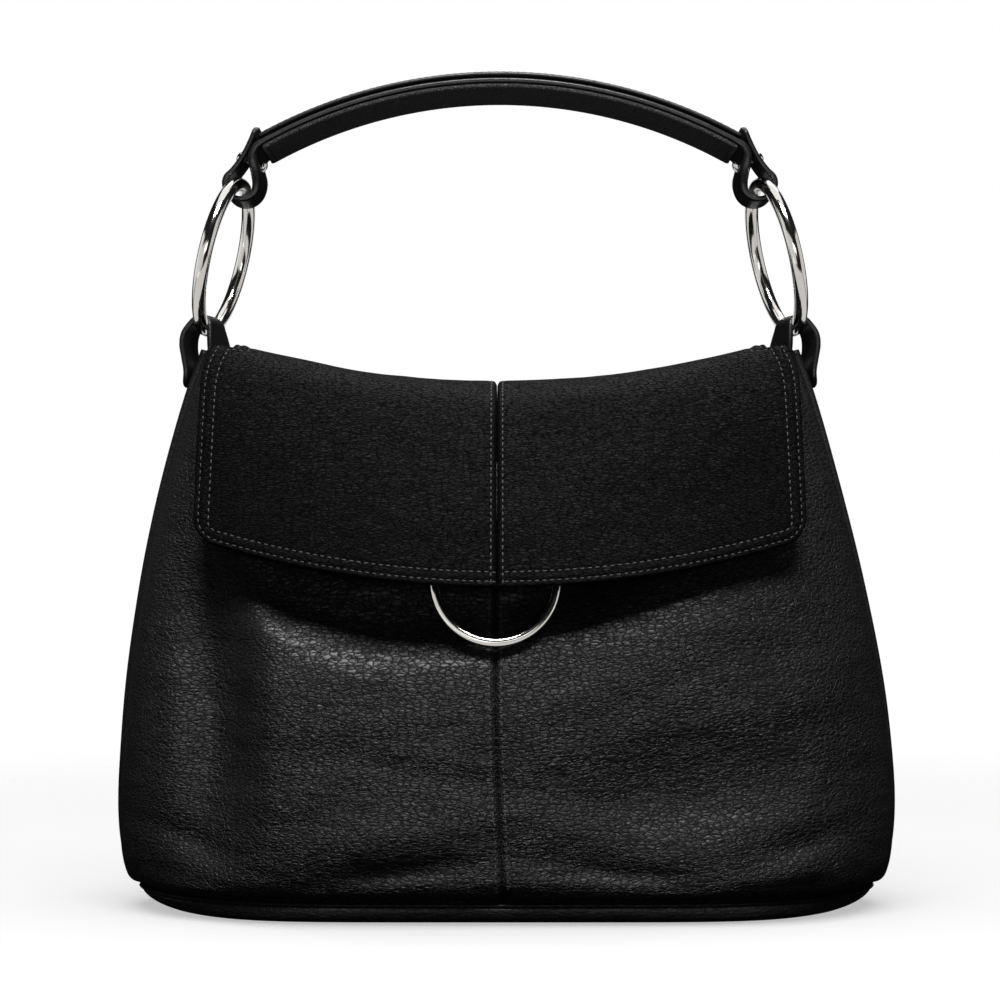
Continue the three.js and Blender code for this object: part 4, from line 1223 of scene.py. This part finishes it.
# %% Handle and base stitches
EDGE_ROW = 2.4                    # distance of the handle's rows from its edges
COVER_ROW_ANGLE, LINING_ROW_ANGLE = COVER_ANGLE - 0.8, LINING_ANGLE - 0.7   # the rows stop before the ends
LINING_FACE = LINING_RADIUS - LINING_THICK / 2
CORNER_GAP = 1                    # the cross rows start this far inside the long ones
GROOVE_Z, GROOVE_OUT, AIR_OUT = 6.9, -0.5, 2.0   # the base's groove, and a place straight out from it


def arch_row(radius, half_angle, y, up):
    """A row along the handle at a distance from its middle, on top (1) or below (-1)."""
    line = arch(radius, half_angle, 300)
    normals = up * unit(line - (LEAN, 0, ARCH_CENTRE_Z))
    return line + (0, y, 0), normals


edge_y = HANDLE_WIDTH / 2 - EDGE_ROW
handle_rows = []
for y in (-edge_y, edge_y):
    crown = COVER_CROWN * (1 - (y / (HANDLE_WIDTH / 2)) ** 2)
    handle_rows.append(arch_row(ARCH_TOP + crown, COVER_ROW_ANGLE, y, 1))
    handle_rows.append(arch_row(LINING_FACE, LINING_ROW_ANGLE, y, -1))
for end in arch(LINING_FACE, LINING_ROW_ANGLE, 2):
    across = np.stack([end + (0, y, 0) for y in np.linspace(CORNER_GAP - edge_y, edge_y - CORNER_GAP, 40)])
    handle_rows.append((across, unit((LEAN, 0, ARCH_CENTRE_Z) - np.repeat(end[None], 40, 0))))
stitches("handle_stitches", handle_rows)

groove, air = (base_loop(np.array([GROOVE_Z]), np.array([out]), 600)[0] for out in (GROOVE_OUT, AIR_OUT))
stitches("base_stitches", [(groove, unit(air - groove))])

# %% [markdown]
# ## Floor and backdrop
# The bag stands on a white table that runs out into white paper. One plane would end in a hard edge, so the
# table grows clear with the distance from the bag and the white of the world takes over. The camera sees
# bright paper, but the bag is lit by a dim room, so that the lamps alone draw its folds.

# %% Floor and world
WHITE, TABLE_WHITE = (1, 1, 1, 1), (0.92, 0.92, 0.92, 1)
TABLE_ROUGH, TABLE_GLOW = 0.85, 0.5
TABLE_FADE = 0.3, 0.75            # metres from the middle where the table starts and ends to clear
TABLE_HALF, TABLE_Z = 1.0, -0.0002   # metres
ROOM_LIGHT, PAPER_LIGHT = 0.012, 1.0


def floor_finish():
    """White table whose cover falls from 1 to 0 with the distance from its middle."""
    finish = Finish(bpy.data.materials.new("floor"))
    place = finish.add("ShaderNodeTexCoord", out="Object")
    distance = finish.add("ShaderNodeVectorMath", {"operation": "LENGTH"}, {0: place}, out="Value")
    return finish.close(Base_Color=TABLE_WHITE, Roughness=TABLE_ROUGH, Alpha=1 - distance.step(*TABLE_FADE),
                        Emission_Color=WHITE, Emission_Strength=TABLE_GLOW)


def studio():
    """A world that is bright where the camera looks into it and dim for everything that it lights."""
    finish = Finish(bpy.data.worlds.new("studio"))
    seen = finish.add("ShaderNodeLightPath", out="Is Camera Ray")
    room, paper = (finish.add("ShaderNodeBackground", {}, {"Color": WHITE, "Strength": strength})
                   for strength in (ROOM_LIGHT, PAPER_LIGHT))
    either = finish.add("ShaderNodeMixShader", {}, {0: seen, 1: room, 2: paper})
    finish.add("ShaderNodeOutputWorld", {}, {"Surface": either})
    return finish.owner


floor_mesh = bpy.data.meshes.new("floor")
floor_corners = [(TABLE_HALF * x, TABLE_HALF * y, 0) for x, y in ((-1, -1), (1, -1), (1, 1), (-1, 1))]
floor_mesh.from_pydata(floor_corners, [], [(0, 1, 2, 3)])
floor_mesh.materials.append(floor_finish())
floor = bpy.data.objects.new("floor", floor_mesh)
floor.location = (0, 0, TABLE_Z)
bpy.context.scene.collection.objects.link(floor)
floor.visible_glossy = False
floor.visible_diffuse = False

bpy.context.scene.world = studio()
bpy.context.scene.view_settings.view_transform = "Standard"
print("floor and backdrop are ready")

# %% [markdown]
# ## Light
# Black leather shows its shape only by what it mirrors, so the lamps are placed one by one, and each lights
# only what it is meant for. A wide soft box high in front draws the ridges of the folds and casts the flap's
# shadow. Weak ones in front, overhead, on the left and behind keep the other sides from going flat, and the
# table has a box of its own. Two low ones stand for the light that a white table throws back, under the
# handle's lining and under the straps. Two behind draw the flap's crest, and the back with the base.
# Five boxes stand round the metal, because a mirror needs something to show.

# %% Soft boxes
def soft_box(name, place, target, size, power, only):
    """Rectangular lamp that faces a target and lights one collection, unseen by the camera itself."""
    lamp = bpy.data.lights.new(name, "AREA")
    lamp.shape = "RECTANGLE"
    lamp.size, lamp.size_y = size
    lamp.energy = power
    box = bpy.data.objects.new(name, lamp)
    box.location = place
    box.rotation_euler = (Vector(target) - Vector(place)).to_track_quat("-Z", "Y").to_euler()
    box.visible_camera = False
    bpy.context.scene.collection.objects.link(box)
    box.light_linking.receiver_collection = only


def group(name, pieces):
    """A collection of pieces that some lamps light alone."""
    made = bpy.data.collections.new(name)
    for piece in pieces:
        made.objects.link(piece)
    return made


bag = group("bag", [o for o in bpy.context.scene.objects if o.type == "MESH" and o != floor])
metal = group("metal", [o for o in bag.objects if o.active_material == NICKEL])
METAL_TARGET, METAL_SIZE, METAL_POWER = (0, 0, 0.25), (1.4, 1.0), 3.5
SOFT_BOXES = (
    # name, place and target in metres, width and height in metres, watts, what it lights
    ("key", (0.08, -0.78, 1.56), (0, 0, 0.13), (0.8, 0.5), 37, bag),
    ("front", (0.1, -2.0, 0.25), (0, 0, 0.12), (1.0, 0.4), 3.2, bag),
    ("overhead", (0, 0.25, 1.7), (0, 0, 0), (1.6, 1.3), 8, bag),
    ("table", (0, -0.3, 1.5), (0, -0.1, 0), (1.8, 1.4), 18.3, group("table", [floor])),
    ("fill", (-1.6, 0.0, 0.5), (0, 0, 0.15), (0.8, 1.0), 0.7, bag),
    ("behind", (0.3, 1.2, 1.8), (0, 0, 0.15), (1.4, 1.0), 6, bag),
    ("rear", (0.3, 1.6, 0.7), (0, 0, 0.12), (1.4, 0.8), 9, group("rear", [back, base])),
    ("bounce", (0, -0.6, 0.02), (0, 0, 0.35), (1.2, 0.6), 10, group("lining", [lining])),
    ("crest", (0, 0.9, 1.6), (0, 0, 0.2), (1.4, 0.5), 8, group("crest", flap)),
    ("under", (0, -0.6, 0.02), (0, 0, 0.35), (1.2, 0.6), 4, group("straps", [strap, *tabs])),
)
METAL_PLACES = {
    "metal_left": (-1.2, -0.1, 0.35), "metal_right": (1.2, -0.1, 0.35), "metal_back": (0, 1.3, 0.4),
    "metal_front": (-0.7, -1.2, 0.1), "metal_floor": (0, 0, 0.001),
}
for row in SOFT_BOXES:
    soft_box(*row)
for name, place in METAL_PLACES.items():
    soft_box(name, place, METAL_TARGET, METAL_SIZE, METAL_POWER, metal)
print("lamps:", [lamp.name for lamp in bpy.data.lights])
